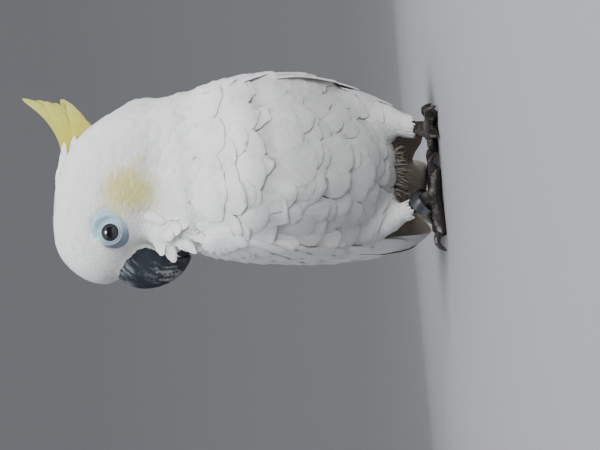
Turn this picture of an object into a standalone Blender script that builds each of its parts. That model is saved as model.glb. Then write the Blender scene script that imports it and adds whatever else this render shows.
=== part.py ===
"""Life-size still model of a white, sulphur-crested cockatoo that stands on a floor.

Metres, +Z up.  The bird's body faces -Y, its right side is -X, and its head is turned
to its right, so that the head faces -X.  The feet and the tail stand on z = 0.
Every millimetre figure below is a size or a place on the bird.
"""
import math

import bmesh
import bpy
from mathutils import Matrix, Vector

MM = 0.001

# ---------------------------------------------------------------- driving dimensions, mm
GAP = 0.35                 # clear space between two neighbouring parts
RING_POINTS = 32           # points round a loft of the body
BODY_VOXEL = 2.6           # grain of the fused body before it is thinned out
BODY_FACES = 1600          # triangles kept on the fused head, neck and trunk
BODY_SMOOTHING = 10        # rounds of smoothing that melt its forms together
HEAD_CUT = ((5, 0, 167), (-0.33, -0.12, 1.0))     # place and way up of the cut under the head
NECK_CUT = ((10, -20, 141), (0.10, -0.42, 1.0))   # and of the cut under the neck
TRUNK_POWER = 2.15         # 2 is an oval section and more is squarer
HEAD_POWER = 2.2
BILL_POWER = 2.1
LOWER_BILL_POWER = 2.3
TAIL_POWER = 2.4

MIDDLE_START = -3.0        # place of the body's middle line at the floor
LEAN = 0.16                # how fast it leans to the bird's left with height
LEAN_EASE = 0.00055        # and how it straightens again toward the head
TURN = 0.05                # slight turn of the body to its left, per unit from front to back

HEAD_YAW = 5.0             # degrees by which the face is short of a square right turn
HEAD_Y = -18.0             # place of the head's middle plane, from front to back
EYE_FORWARD = 26.9         # eye's centre, forward of the head's axis
EYE_HEIGHT = 200.5
EYE_RADIUS = 6.6
EYE_SIDE = 20.2            # eye's centre, out from the head's middle plane

LEG_RING_RADIUS = 8.2      # outside
LEG_RING_WALL = 1.0
LEG_RING_HEIGHT = 7.2
LEG_RING_PLACE = (-22.6, 0.2, 12.6)
LEG_RING_AXIS = (-0.44, 0.48, 0.76)    # it hangs tilted, its lower mouth to the front
LEG_RING_BEVEL = 0.3       # at its outer rims
LEG_RING_POINTS = 24

FOOT_VOXEL = 0.8           # grain of a fused foot
FOOT_SMOOTHING = 3
FOOT_FACES = 366           # triangles kept on it
CLAW_LENGTH = 14.0         # along the curve
CLAW_SET_BACK = 1.5        # of its root into the toe
CLAW_TURN = 78.0           # degrees of its arc
CLAW_STRETCH = 0.86        # share of its length that reaches forward
CLAW_ROOT_HEIGHT = 4.6
CLAW_ARCH = 2.2            # how far it rises before it hooks down
CLAW_DROP = 3.7
CLAW_ROOT_RADIUS = 2.5
CLAW_TIP_RADIUS = 0.35
FLOOR_CUT = 0.0            # level of the flats under the toes and the tail
FLOOR_SNAP = 0.02          # corners this near to it are moved onto it

# Each trunk station: back point (y, z), belly point (y, z), half width.
TRUNK_STATIONS = [
    ((124, 55), (121, 40), 14),
    ((113, 67), (102, 33), 24),
    ((99, 86), (78, 29), 35),
    ((83, 108), (46, 27), 44),
    ((67, 130), (10, 28), 51),
    ((53, 150), (-28, 43), 54.5),
    ((40, 168), (-55, 72), 55),
    ((27, 182), (-66, 104), 52),
    ((19, 194), (-60, 132), 47),
    ((15, 205), (-49, 155), 42),
    ((10, 216), (-42, 178), 37),
]

# Each head station: forward place, top height, bottom height, half width.
HEAD_STATIONS = [
    (57.5, 218, 209, 5),
    (55.0, 224, 205, 11),
    (49.5, 232, 200, 17),
    (42.5, 238.5, 194, 21),
    (34.0, 243, 186, 24.5),
    (22.0, 244.5, 174, 27.5),
    (8.0, 243, 162, 31),
    (-8.0, 239.5, 155, 34),
    (-22.0, 233.5, 152, 36),
    (-34.0, 224, 150, 35),
    (-43.0, 212, 152, 30),
    (-48.5, 201, 160, 22),
    (-52.0, 190, 170, 10),
]

# Soft swellings on the fused body: x (forward on the head), side, height, three radii.
CHEEK_SWELL = (27, 11.5, 167, 15, 10.5, 17)
NAPE_SWELL = (-38, 0, 180, 20, 28, 24)
NECK_SWELL = (-32, 0, 160, 25, 34, 24)

# Upper bill: ridge point (forward, z), cutting-edge point (forward, z), half width.
UPPER_BILL = [
    ((43, 211.5), (27, 200), 9.0),
    ((53.5, 206.5), (30, 192), 10.2),
    ((59.8, 197), (32, 184), 10.0),
    ((61.8, 186), (35, 176), 8.7),
    ((59.6, 174), (38.5, 169.5), 6.8),
    ((54.8, 165.5), (41, 165.8), 4.9),
    ((48.8, 160.3), (42.4, 162.8), 3.0),
    ((43.6, 157.6), (42.6, 159.4), 0.9),
]

# Lower bill: forward place, top, bottom, half width.
LOWER_BILL = [
    (17, 178, 161, 7.0),
    (26, 178, 156.5, 8.6),
    (34, 175, 155.5, 8.2),
    (40, 170, 157.0, 6.4),
    (44, 165.5, 160.5, 4.0),
]

# Crest plumes: root (forward, z), tip (forward, z), how late the plume curls up, half
# width, sideways place of the tip.
CREST_PLUMES = [
    ((-6, 232.0), (-65.5, 261.5), 3.4, 4.4, 0.0),
    ((-8, 230.0), (-63.5, 250.5), 2.8, 5.2, 2.2),
    ((-10, 228.0), (-66.5, 237.5), 2.2, 5.6, -2.2),
    ((-12, 225.5), (-60.5, 229.5), 1.8, 5.6, 1.4),
    ((-14, 223.0), (-52.5, 222.0), 1.4, 5.2, -1.4),
]
CREST_THICKNESS = 1.5      # of a plume at mid length; its root is thicker and its tip thinner
PLUME_STEPS = 7
PLUME_LEAST_WIDTH = 0.8    # half width at the very tip

# Each wing station: lower edge, side line and upper edge as (out, y, z), wall thickness.
WING_STATIONS = {
    "left": [
        ((41, -51, 129), (42.5, -51, 134), (41, -48, 140), 2.0),
        ((47.5, -46, 112), (48.5, -38, 135), (44, -24, 152), 5.0),
        ((52.5, -30, 84), (55.5, -14, 121), (45, 12, 156), 6.5),
        ((51, -4, 57), (60, 14, 101), (40, 42, 143), 6.5),
        ((48, 26, 37), (59, 42, 81), (33, 70, 119), 6.0),
        ((45, 56, 20), (54.5, 72, 60), (24, 95, 92), 5.5),
        ((40.5, 88, 7), (45.5, 100, 41), (15, 119, 66), 4.5),
        ((34.5, 120, 8.5), (35, 128, 30), (9, 142, 46), 3.6),
        ((27.5, 150, 17), (25, 155, 25.5), (6, 165, 32), 3.0),
        ((19, 179, 16.5), (14, 182, 19.5), (4, 187, 22), 2.4),
        ((9, 199, 12.4), (7, 200, 13.4), (3, 203, 14.2), 1.4)],
    "right": [
        ((42, -51, 129), (44, -51, 134), (43, -48, 140), 2.0),
        ((49, -46, 112), (53.5, -38, 135), (50, -24, 154), 5.5),
        ((53, -31, 84), (59.5, -14, 121), (48, 12, 158), 6.5),
        ((50, -6, 57), (61.5, 14, 101), (40, 42, 143), 6.5),
        ((45.5, 23, 37), (61.5, 42, 81), (33, 70, 119), 6.0),
        ((42, 54, 20), (57.5, 72, 60), (24, 95, 92), 5.5),
        ((38.5, 87, 7), (51, 99, 39), (15, 119, 66), 4.5),
        ((33, 119, 8.5), (41, 125, 26), (9, 142, 46), 3.6),
        ((26.5, 149.5, 17), (28, 154, 24), (6, 165, 32), 3.0),
        ((19, 179, 16.5), (14, 182, 19.5), (4, 187, 22), 2.4),
        ((9, 199, 12.4), (7, 200, 13.4), (3, 203, 14.2), 1.4)],
}
WING_ACROSS = 7            # points across the outer face of a wing section
WING_RIM = 0.25            # share of the wall that is left at the wing's two edges
WING_RIM_ROUNDING = 0.6    # how fast the wall grows from there
WING_INSET = 0.8           # share of the wall by which the upper part is also thinned downward

# Tail: y, height of the middle, half width, half thickness.
TAIL_STATIONS = [
    (112, 48, 12, 5.0),
    (130, 37, 16, 4.2),
    (150, 23.5, 21, 3.2),
    (172, 11.6, 25, 2.6),
    (196, 5.0, 28, 2.1),
    (222, 1.8, 30, 1.9),
    (243, 1.2, 27, 1.6),
    (254, 1.0, 14, 1.4),
]

# Legs.  Thigh: places down the leg (x, y, z) with radii across and from front to back.
THIGHS = {
    "right": [((-36, 20, 66), 15, 20), ((-33.5, 12, 49), 12.6, 14), ((-31.6, 9, 37), 11, 11.5),
              ((-29.2, 7.8, 28.5), 8.0, 8.2), ((-27.4, 6.2, 20), 5.6, 5.8)],
    "left": [((36.5, 20, 66), 16, 20), ((35.5, 12, 47), 13, 14), ((32.5, 8, 33), 10.8, 11),
             ((28.4, 5, 22.5), 9.2, 9.2), ((25.9, 3.5, 15.5), 7.6, 7.4)],
}
SHANKS = {
    "right": [(-27.8, 7, 27), (-24, 2, 17), (-19.5, -3.2, 6.5)],
    "left": [(26, 4.5, 22), (24.5, 1, 14), (22.5, -3, 6.0)],
}
SHANK_RADII = [4.7, 4.3, 5.2]       # at the three places of a shank
SHANK_POINTS = 14          # round a shank
TOE_POINTS = 8             # round a toe
CLAW_POINTS = 6            # round a claw

# Toes: heading in degrees from straight ahead (-Y), to the bird's left when positive,
# and length without the claw.  Two toes point forward and two backward on each foot.
TOES = {
    "right": [(-70, 26), (72, 18), (-118, 19), (148, 17)],
    "left": [(-14, 22), (16, 25), (-100, 15), (142, 20)],
}

# Joints of every toe: share of its length, height of the middle, radius.  The pads dip
# a little under the floor level, where they are cut flat.
TOE_JOINTS = [(0.0, 5.0, 4.3), (0.22, 4.2, 4.0), (0.45, 3.6, 3.5), (0.62, 3.3, 3.9),
              (0.8, 3.0, 3.4), (1.0, 2.6, 3.3)]

RIGHT = -1
LEFT = 1

# Linear colours of the materials.
BODY_WHITE = (0.80, 0.81, 0.82)
WING_WHITE = (0.72, 0.73, 0.75)
TAIL_WHITE = (0.70, 0.70, 0.66)
CREST_YELLOW = (0.72, 0.68, 0.24)
EYE_BLACK = (0.012, 0.012, 0.016)
UPPER_HORN = (0.045, 0.052, 0.065)
LOWER_HORN = (0.030, 0.034, 0.040)
FOOT_GREY = (0.075, 0.070, 0.070)
CLAW_BLACK = (0.020, 0.019, 0.020)
STEEL = (0.33, 0.34, 0.35)


# ---------------------------------------------------------------- scene and collections
for old in list(bpy.data.objects):
    bpy.data.objects.remove(old, do_unlink=True)

PARTS = bpy.data.collections.new("cockatoo")
CUTTERS = bpy.data.collections.new("cutters")
bpy.context.scene.collection.children.link(PARTS)
bpy.context.scene.collection.children.link(CUTTERS)


# ---------------------------------------------------------------- materials
def material(name, colour, roughness, metallic=0.0):
    """A Principled material of one linear RGB colour."""
    made = bpy.data.materials.new(name)
    made.use_nodes = True
    shader = made.node_tree.nodes["Principled BSDF"]
    shader.inputs["Base Color"].default_value = (*colour, 1.0)
    shader.inputs["Roughness"].default_value = roughness
    shader.inputs["Metallic"].default_value = metallic
    made.diffuse_color = (*colour, 1.0)
    return made


# ---------------------------------------------------------------- shared shapes
def body_point(side_x, y, z):
    """World place, in metres, of a point given from the leaning middle of the body."""
    middle = MIDDLE_START + LEAN * z - LEAN_EASE * z * z - TURN * y
    return Vector((side_x + middle, y, z)) * MM


def head_point(forward, side, z):
    """World place, in metres, of a point on the turned head; side is to its left."""
    yaw = math.radians(HEAD_YAW)
    x = -forward * math.cos(yaw) + side * math.sin(yaw)
    y = HEAD_Y - forward * math.sin(yaw) - side * math.cos(yaw)
    return Vector((x, y, z)) * MM


def smooth_stations(stations, steps):
    """Points of a Catmull-Rom curve through equal-length rows of numbers."""
    rows = [[float(value) for value in row] for row in stations]
    padded = [rows[0]] + rows + [rows[-1]]
    result = []
    for index in range(1, len(padded) - 2):
        before, start, end, after = padded[index - 1:index + 3]
        for step in range(steps):
            t = step / steps
            result.append([
                0.5 * (2 * b + (c - a) * t + (2 * a - 5 * b + 4 * c - d) * t * t
                       + (3 * b - a - 3 * c + d) * t ** 3)
                for a, b, c, d in zip(before, start, end, after)])
    result.append(rows[-1])
    return result


def loft(name, rings, collection=CUTTERS):
    """A closed mesh through rings of equal point counts, with a flat fan at each end."""
    mesh = bmesh.new()
    count = len(rings[0])
    rows = [[mesh.verts.new(point) for point in ring] for ring in rings]
    for lower, upper in zip(rows, rows[1:]):
        for index in range(count):
            after = (index + 1) % count
            mesh.faces.new((lower[index], lower[after], upper[after], upper[index]))
    for row in (rows[0], rows[-1]):
        middle = sum((vert.co for vert in row), Vector()) / count
        centre = mesh.verts.new(middle)
        for index in range(count):
            mesh.faces.new((centre, row[index], row[(index + 1) % count]))
    bmesh.ops.recalc_face_normals(mesh, faces=mesh.faces)
    return to_object(name, mesh, collection)


def to_object(name, mesh, collection):
    """An object that holds a finished bmesh, which is freed."""
    data = bpy.data.meshes.new(name)
    mesh.to_mesh(data)
    mesh.free()
    made = bpy.data.objects.new(name, data)
    collection.objects.link(made)
    if collection is CUTTERS:
        made.hide_render = True
        made.display_type = "WIRE"
    return made


def oval(middle, across, up, half_across, half_up, points=RING_POINTS, power=2.0):
    """A ring of points on an oval; power 2 is an ellipse and more is squarer."""
    ring = []
    for index in range(points):
        angle = 2 * math.pi * index / points
        cosine, sine = math.cos(angle), math.sin(angle)
        wide = math.copysign(abs(cosine) ** (2 / power), cosine)
        high = math.copysign(abs(sine) ** (2 / power), sine)
        ring.append(middle + across * (half_across * wide) + up * (half_up * high))
    return ring


def apply_modifiers(item):
    """Replace an object's mesh by what its modifiers make."""
    graph = bpy.context.evaluated_depsgraph_get()
    graph.update()
    old = item.data
    item.data = bpy.data.meshes.new_from_object(item.evaluated_get(graph))
    item.modifiers.clear()
    bpy.data.meshes.remove(old)


def boolean(item, tool, operation):
    """Join, cut or keep what two closed meshes share."""
    step = item.modifiers.new("solid", "BOOLEAN")
    step.operation = operation
    step.solver = "EXACT"
    step.object = tool
    apply_modifiers(item)


def swollen_copy(item, distance=GAP):
    """A copy of a part grown outward by the gap that its neighbour keeps."""
    grown = bpy.data.objects.new(item.name + "_swollen", item.data.copy())
    grown.matrix_world = item.matrix_world
    CUTTERS.objects.link(grown)
    grown.hide_render = True
    grown.display_type = "WIRE"
    step = grown.modifiers.new("grow", "DISPLACE")
    step.direction = "NORMAL"
    step.mid_level = 0.0
    step.strength = distance * MM
    apply_modifiers(grown)
    return grown


def cut_clear(item, neighbours):
    """Take the swollen shape of each neighbour out of a part."""
    for neighbour in neighbours:
        boolean(item, swollen_copy(neighbour), "DIFFERENCE")
    keep_largest(item)


def keep_largest(item):
    """Drop crumbs that a cut has left beside the main body of a part."""
    mesh = bmesh.new()
    mesh.from_mesh(item.data)
    unseen = set(mesh.verts)
    islands = []
    while unseen:
        front = [unseen.pop()]
        island = list(front)
        while front:
            vert = front.pop()
            for edge in vert.link_edges:
                other = edge.other_vert(vert)
                if other in unseen:
                    unseen.remove(other)
                    front.append(other)
                    island.append(other)
        islands.append(island)
    islands.sort(key=len)
    for island in islands[:-1]:
        bmesh.ops.delete(mesh, geom=island, context="VERTS")
    mesh.to_mesh(item.data)
    mesh.free()


def slice_off(item, point, normal, keep_above):
    """Cut a part by a plane, close the cut face and keep one side of it."""
    mesh = bmesh.new()
    mesh.from_mesh(item.data)
    geometry = mesh.verts[:] + mesh.edges[:] + mesh.faces[:]
    cut = bmesh.ops.bisect_plane(
        mesh, geom=geometry, dist=0.00001, plane_co=point, plane_no=normal,
        clear_outer=not keep_above, clear_inner=keep_above)
    edges = [piece for piece in cut["geom_cut"] if isinstance(piece, bmesh.types.BMEdge)]
    bmesh.ops.contextual_create(mesh, geom=edges)
    bmesh.ops.triangulate(mesh, faces=mesh.faces)
    bmesh.ops.recalc_face_normals(mesh, faces=mesh.faces)
    mesh.to_mesh(item.data)
    mesh.free()


def split(item, name, point, normal):
    """Part a mesh in two by a plane with a gap; the piece above takes the new name."""
    above = bpy.data.objects.new(name, item.data.copy())
    item.users_collection[0].objects.link(above)
    normal = Vector(normal).normalized()
    half_gap = normal * (GAP * MM / 2)
    slice_off(above, Vector(point) * MM + half_gap, normal, keep_above=True)
    slice_off(item, Vector(point) * MM - half_gap, normal, keep_above=False)
    return above


def thin_out(item, triangles):
    """Thin a dense mesh out to about a number of triangles."""
    mesh = bmesh.new()
    mesh.from_mesh(item.data)
    bmesh.ops.triangulate(mesh, faces=mesh.faces)
    mesh.to_mesh(item.data)
    mesh.free()
    step = item.modifiers.new("thin", "DECIMATE")
    step.ratio = min(1.0, triangles / len(item.data.polygons))
    apply_modifiers(item)


def fuse(item, voxel, smoothing):
    """Melt overlapping closed meshes in one object into one smooth skin."""
    remesh = item.modifiers.new("fuse", "REMESH")
    remesh.mode = "VOXEL"
    remesh.voxel_size = voxel * MM
    soften = item.modifiers.new("soften", "SMOOTH")
    soften.factor = 0.5
    soften.iterations = smoothing
    apply_modifiers(item)


def join(name, items, collection):
    """One object that holds the meshes of several."""
    mesh = bmesh.new()
    for item in items:
        data = item.data.copy()
        data.transform(item.matrix_world)
        mesh.from_mesh(data)
        bpy.data.meshes.remove(data)
    return to_object(name, mesh, collection)


def finish(item, made_material):
    """Give a part its material and smooth shading and put it with the parts."""
    item.data.materials.clear()
    item.data.materials.append(made_material)
    for face in item.data.polygons:
        face.use_smooth = True
        face.material_index = 0
    if item.name not in PARTS.objects:
        for owner in list(item.users_collection):
            owner.objects.unlink(item)
        PARTS.objects.link(item)
    item.hide_render = False
    item.display_type = "TEXTURED"
    return item


# ---------------------------------------------------------------- head, neck and trunk
def swell(name, place, radii):
    """A ball that is pressed to three radii, to be fused with the body."""
    mesh = bmesh.new()
    bmesh.ops.create_uvsphere(mesh, u_segments=24, v_segments=16, radius=1.0)
    bmesh.ops.scale(mesh, verts=mesh.verts, vec=Vector(radii) * MM)
    turn = Matrix.Rotation(math.radians(HEAD_YAW), 4, "Z")
    bmesh.ops.transform(mesh, verts=mesh.verts, matrix=Matrix.Translation(place) @ turn)
    return to_object(name, mesh, CUTTERS)


def make_trunk_form():
    """The neck and trunk, from the root of the tail up into the head."""
    rows = [(*back, *belly, width) for back, belly, width in TRUNK_STATIONS]
    rings = []
    for back_y, back_z, belly_y, belly_z, width in smooth_stations(rows, 4):
        back = body_point(0, back_y, back_z)
        belly = body_point(0, belly_y, belly_z)
        up = (back - belly).normalized()
        half = (back - belly).length / 2
        middle = (back + belly) / 2
        rings.append(oval(middle, Vector((1, 0, 0)), up, width * MM, half,
                          power=TRUNK_POWER))
    return loft("trunk_form", rings)


def make_head_form():
    """The head with its smooth crown, along its own axis."""
    rings = []
    for forward, top, bottom, width in smooth_stations(HEAD_STATIONS, 4):
        middle = head_point(forward, 0, (top + bottom) / 2)
        side = head_point(forward, 1, 0) - head_point(forward, 0, 0)
        up = Vector((0, 0, 1))
        half = (top - bottom) / 2 * MM
        rings.append(oval(middle, side, up, width, half, power=HEAD_POWER))
    return loft("head_form", rings)


def make_swells():
    """The fluffed cheeks beside the bill and the full back of the neck."""
    forward, side, height, long, wide, high = CHEEK_SWELL
    swells = []
    for sign in (RIGHT, LEFT):
        place = head_point(forward, side * sign, height)
        swells.append(swell("cheek", place, (long, wide, high)))
    for forward, side, height, long, wide, high in (NAPE_SWELL, NECK_SWELL):
        swells.append(swell("nape", head_point(forward, side, height), (long, wide, high)))
    return swells


def make_body():
    """Head, neck and trunk fused into one form and parted again by thin cuts."""
    forms = [make_trunk_form(), make_head_form(), *make_swells()]
    trunk = join("trunk", forms, PARTS)
    fuse(trunk, BODY_VOXEL, BODY_SMOOTHING)
    thin_out(trunk, BODY_FACES)
    head = split(trunk, "head", *HEAD_CUT)
    neck = split(trunk, "neck", *NECK_CUT)
    return trunk, neck, head


# ---------------------------------------------------------------- eyes and bill
def make_eye(name, sign):
    """An eyeball that sits in the side of the head."""
    mesh = bmesh.new()
    bmesh.ops.create_uvsphere(mesh, u_segments=14, v_segments=8, radius=EYE_RADIUS * MM)
    place = head_point(EYE_FORWARD, EYE_SIDE * sign, EYE_HEIGHT)
    bmesh.ops.translate(mesh, verts=mesh.verts, vec=place)
    return to_object(name, mesh, PARTS)


def make_upper_bill():
    """The deep hooked upper half of the bill."""
    rows = [(*ridge, *edge, width) for ridge, edge, width in UPPER_BILL]
    rings = []
    for ridge_f, ridge_z, edge_f, edge_z, width in smooth_stations(rows, 2):
        ridge = head_point(ridge_f, 0, ridge_z)
        edge = head_point(edge_f, 0, edge_z)
        side = head_point(0, 1, 0) - head_point(0, 0, 0)
        up = (ridge - edge).normalized()
        half = (ridge - edge).length / 2
        rings.append(oval((ridge + edge) / 2, side, up, width, half, 12, power=BILL_POWER))
    return loft("beak_upper", rings, PARTS)


def make_lower_bill():
    """The scoop-shaped lower half, mostly behind the cheek feathers."""
    rings = []
    for forward, top, bottom, width in smooth_stations(LOWER_BILL, 2):
        middle = head_point(forward, 0, (top + bottom) / 2)
        side = head_point(0, 1, 0) - head_point(0, 0, 0)
        half = (top - bottom) / 2 * MM
        rings.append(oval(middle, side, Vector((0, 0, 1)), width, half, 10,
                          power=LOWER_BILL_POWER))
    return loft("beak_lower", rings, PARTS)


# ---------------------------------------------------------------- crest
def make_plume(name, root, tip, curl, width, side, grow):
    """One long narrow plume that runs back from the crown and curls up at its tip."""
    out = head_point(0, 1, 0) - head_point(0, 0, 0)
    rise = tip[1] - root[1]
    rings = []
    for step in range(PLUME_STEPS + 1):
        t = step / PLUME_STEPS
        forward = root[0] + (tip[0] - root[0]) * t
        middle = head_point(forward, side * t, root[1] + rise * t ** curl)
        slope = rise * curl * t ** (curl - 1)
        run = head_point(tip[0], 0, slope) - head_point(root[0], 0, 0)
        up = run.cross(out).normalized()
        half = max(PLUME_LEAST_WIDTH, width * math.sin(math.pi * (0.2 + 0.75 * t)) ** 0.7) + grow
        half_thick = CREST_THICKNESS / 2 * (1.8 - t) + grow
        rings.append(oval(middle, out, up, half_thick, half * MM, 6))
    return loft(name, rings)


def make_crest():
    """All the plumes, joined where they overlap at the root."""
    plumes = [make_plume("plume", *plume, 0.0) for plume in CREST_PLUMES]
    crest = plumes[0]
    crest.name = "crest"
    for plume in plumes[1:]:
        boolean(crest, plume, "UNION")
    return crest


def cut_crest_slot(head):
    """Clear the crown round the roots of the plumes."""
    for plume in CREST_PLUMES:
        boolean(head, make_plume("slot", *plume, GAP), "DIFFERENCE")
    keep_largest(head)


# ---------------------------------------------------------------- wings and tail
def flatten(item):
    """Cut a part off level with the floor, which leaves small flats to stand on."""
    slice_off(item, Vector((0, 0, FLOOR_CUT)), Vector((0, 0, 1)), keep_above=True)
    for vert in item.data.vertices:
        if abs(vert.co.z / MM - FLOOR_CUT) < FLOOR_SNAP:
            vert.co.z = FLOOR_CUT * MM


def wing_section(lower, side, upper, thickness, sign):
    """A ring of points round one section: the outer face, then the inner face back."""
    outer = []
    inner = []
    for index in range(WING_ACROSS):
        t = index / (WING_ACROSS - 1)
        out = (1 - t) ** 2 * lower[0] + t ** 2 * upper[0]
        bulge = 2 * t * (1 - t)
        control = [2 * side[axis] - (lower[axis] + upper[axis]) / 2 for axis in range(3)]
        x = out + bulge * control[0]
        y = (1 - t) ** 2 * lower[1] + bulge * control[1] + t ** 2 * upper[1]
        z = (1 - t) ** 2 * lower[2] + bulge * control[2] + t ** 2 * upper[2]
        grown = math.sin(math.pi * t) ** WING_RIM_ROUNDING
        wall = thickness * (WING_RIM + (1 - WING_RIM) * grown)
        slope = (z - side[2]) / max(1.0, upper[2] - lower[2])
        outer.append(body_point(sign * x, y, z))
        turned_in = max(0.0, slope)
        inner.append(body_point(sign * (x - wall * (1 - turned_in / 2)), y,
                                z - wall * WING_INSET * turned_in))
    return outer + inner[::-1]


def make_wing(side, sign):
    """A folded wing from its bend at the breast to the tips of its long feathers."""
    rows = [(*low, *mid, *high, wall) for low, mid, high, wall in WING_STATIONS[side]]
    rings = []
    for row in smooth_stations(rows, 2):
        rings.append(wing_section(row[0:3], row[3:6], row[6:9], row[9], sign))
    return loft("wing_" + side, rings, PARTS)


def make_tail():
    """The closed tail, bent at its root and laid on the floor at its end."""
    rings = []
    for y, z, width, half in smooth_stations(TAIL_STATIONS, 2):
        middle = body_point(0, y, z)
        rings.append(oval(middle, Vector((1, 0, 0)), Vector((0, 0, 1)), width * MM,
                          half * MM, 14, power=TAIL_POWER))
    tail = loft("tail", rings, PARTS)
    flatten(tail)
    return tail


# ---------------------------------------------------------------- legs and feet
def make_thigh(name, stations):
    """The feathered upper leg, down to the ankle."""
    rows = [(*place, wide, deep) for place, wide, deep in stations]
    rings = []
    for x, y, z, wide, deep in smooth_stations(rows, 2):
        middle = Vector((x, y, z)) * MM
        rings.append(oval(middle, Vector((1, 0, 0)), Vector((0, 1, 0)), wide * MM,
                          deep * MM, 12))
    return loft(name, rings, PARTS)


def tube(name, places, radii, points=12):
    """A closed tube of changing radius along a line of places."""
    rings = []
    for index, place in enumerate(places):
        before = places[max(0, index - 1)]
        after = places[min(len(places) - 1, index + 1)]
        along = (after - before).normalized()
        across = along.cross(Vector((0, 0, 1)))
        if across.length < 0.2:
            across = Vector((1, 0, 0))
        across.normalize()
        up = across.cross(along).normalized()
        rings.append(oval(place, across, up, radii[index] * MM, radii[index] * MM, points))
    return loft(name, rings)


def toe_heading(angle):
    """Level unit vector of a toe, from straight ahead and round to the bird's left."""
    turn = math.radians(angle)
    return Vector((math.sin(turn), -math.cos(turn), 0))


def make_toe(name, base, angle, length):
    """A padded toe with a low arch between its joints."""
    heading = toe_heading(angle)
    places = []
    radii = []
    for share, height, radius in TOE_JOINTS:
        place = Vector((base.x, base.y, 0)) + heading * (length * share)
        places.append(Vector((place.x, place.y, height)) * MM)
        radii.append(radius)
    return tube(name, places, radii, TOE_POINTS)


def make_claw(name, base, angle, length):
    """A curved claw that leaves the toe upward and hooks down to a point."""
    heading = toe_heading(angle)
    steps = 5
    places = []
    radii = []
    for step in range(steps + 1):
        t = step / steps
        arc = math.sin(t * math.radians(CLAW_TURN))
        reach = length - CLAW_SET_BACK + CLAW_LENGTH * CLAW_STRETCH * arc
        rise = CLAW_ARCH * math.sin(math.pi * min(1.0, t * 1.3))
        height = CLAW_ROOT_HEIGHT + rise - CLAW_DROP * t * t
        place = Vector((base.x, base.y, 0)) + heading * reach
        places.append(Vector((place.x, place.y, height)) * MM)
        radii.append(CLAW_ROOT_RADIUS * (1 - t) ** 0.75 + CLAW_TIP_RADIUS)
    return tube(name, places, radii, CLAW_POINTS)


def make_foot(side):
    """Shank and four toes in one piece."""
    shank = [Vector(place) * MM for place in SHANKS[side]]
    base = Vector(SHANKS[side][-1])
    forms = [tube("shank", shank, SHANK_RADII, SHANK_POINTS)]
    for angle, length in TOES[side]:
        forms.append(make_toe("toe", base, angle, length))
    foot = join("foot_" + side, forms, PARTS)
    fuse(foot, FOOT_VOXEL, FOOT_SMOOTHING)
    thin_out(foot, FOOT_FACES)
    return foot


def make_claws(side):
    """The four claws of a foot, each let a little way into the end of its toe."""
    base = Vector(SHANKS[side][-1])
    claws = []
    for number, (angle, length) in enumerate(TOES[side]):
        claws.append(make_claw("claw_%s_%d" % (side, number + 1), base, angle, length))
    return claws


def make_leg_ring():
    """The steel identity ring, loose and tilted round the right shank."""
    high = LEG_RING_HEIGHT / 2
    outer = LEG_RING_RADIUS
    inner = LEG_RING_RADIUS - LEG_RING_WALL
    bevel = LEG_RING_BEVEL
    profile = [(inner, -high), (outer - bevel, -high), (outer, -high + bevel),
               (outer, high - bevel), (outer - bevel, high), (inner, high)]
    mesh = bmesh.new()
    rows = []
    for index in range(LEG_RING_POINTS):
        angle = 2 * math.pi * index / LEG_RING_POINTS
        rows.append([mesh.verts.new(Vector((r * math.cos(angle), r * math.sin(angle), z)) * MM)
                     for r, z in profile])
    for index in range(LEG_RING_POINTS):
        one = rows[index]
        two = rows[(index + 1) % LEG_RING_POINTS]
        for place in range(len(profile)):
            after = (place + 1) % len(profile)
            mesh.faces.new((one[place], two[place], two[after], one[after]))
    bmesh.ops.recalc_face_normals(mesh, faces=mesh.faces)
    ring = to_object("leg_ring", mesh, PARTS)
    tilt = Vector((0, 0, 1)).rotation_difference(Vector(LEG_RING_AXIS)).to_matrix().to_4x4()
    ring.data.transform(Matrix.Translation(Vector(LEG_RING_PLACE) * MM) @ tilt)
    return ring


# ---------------------------------------------------------------- assembly
def centre_on_floor():
    """Move all parts so that the middle of the whole model's footprint is the origin."""
    corners = [vert.co for item in PARTS.objects for vert in item.data.vertices]
    low = Vector([min(corner[axis] for corner in corners) for axis in range(3)])
    high = Vector([max(corner[axis] for corner in corners) for axis in range(3)])
    shift = Vector((-(low.x + high.x) / 2, -(low.y + high.y) / 2, -low.z))
    for item in PARTS.objects:
        item.data.transform(Matrix.Translation(shift))


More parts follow.
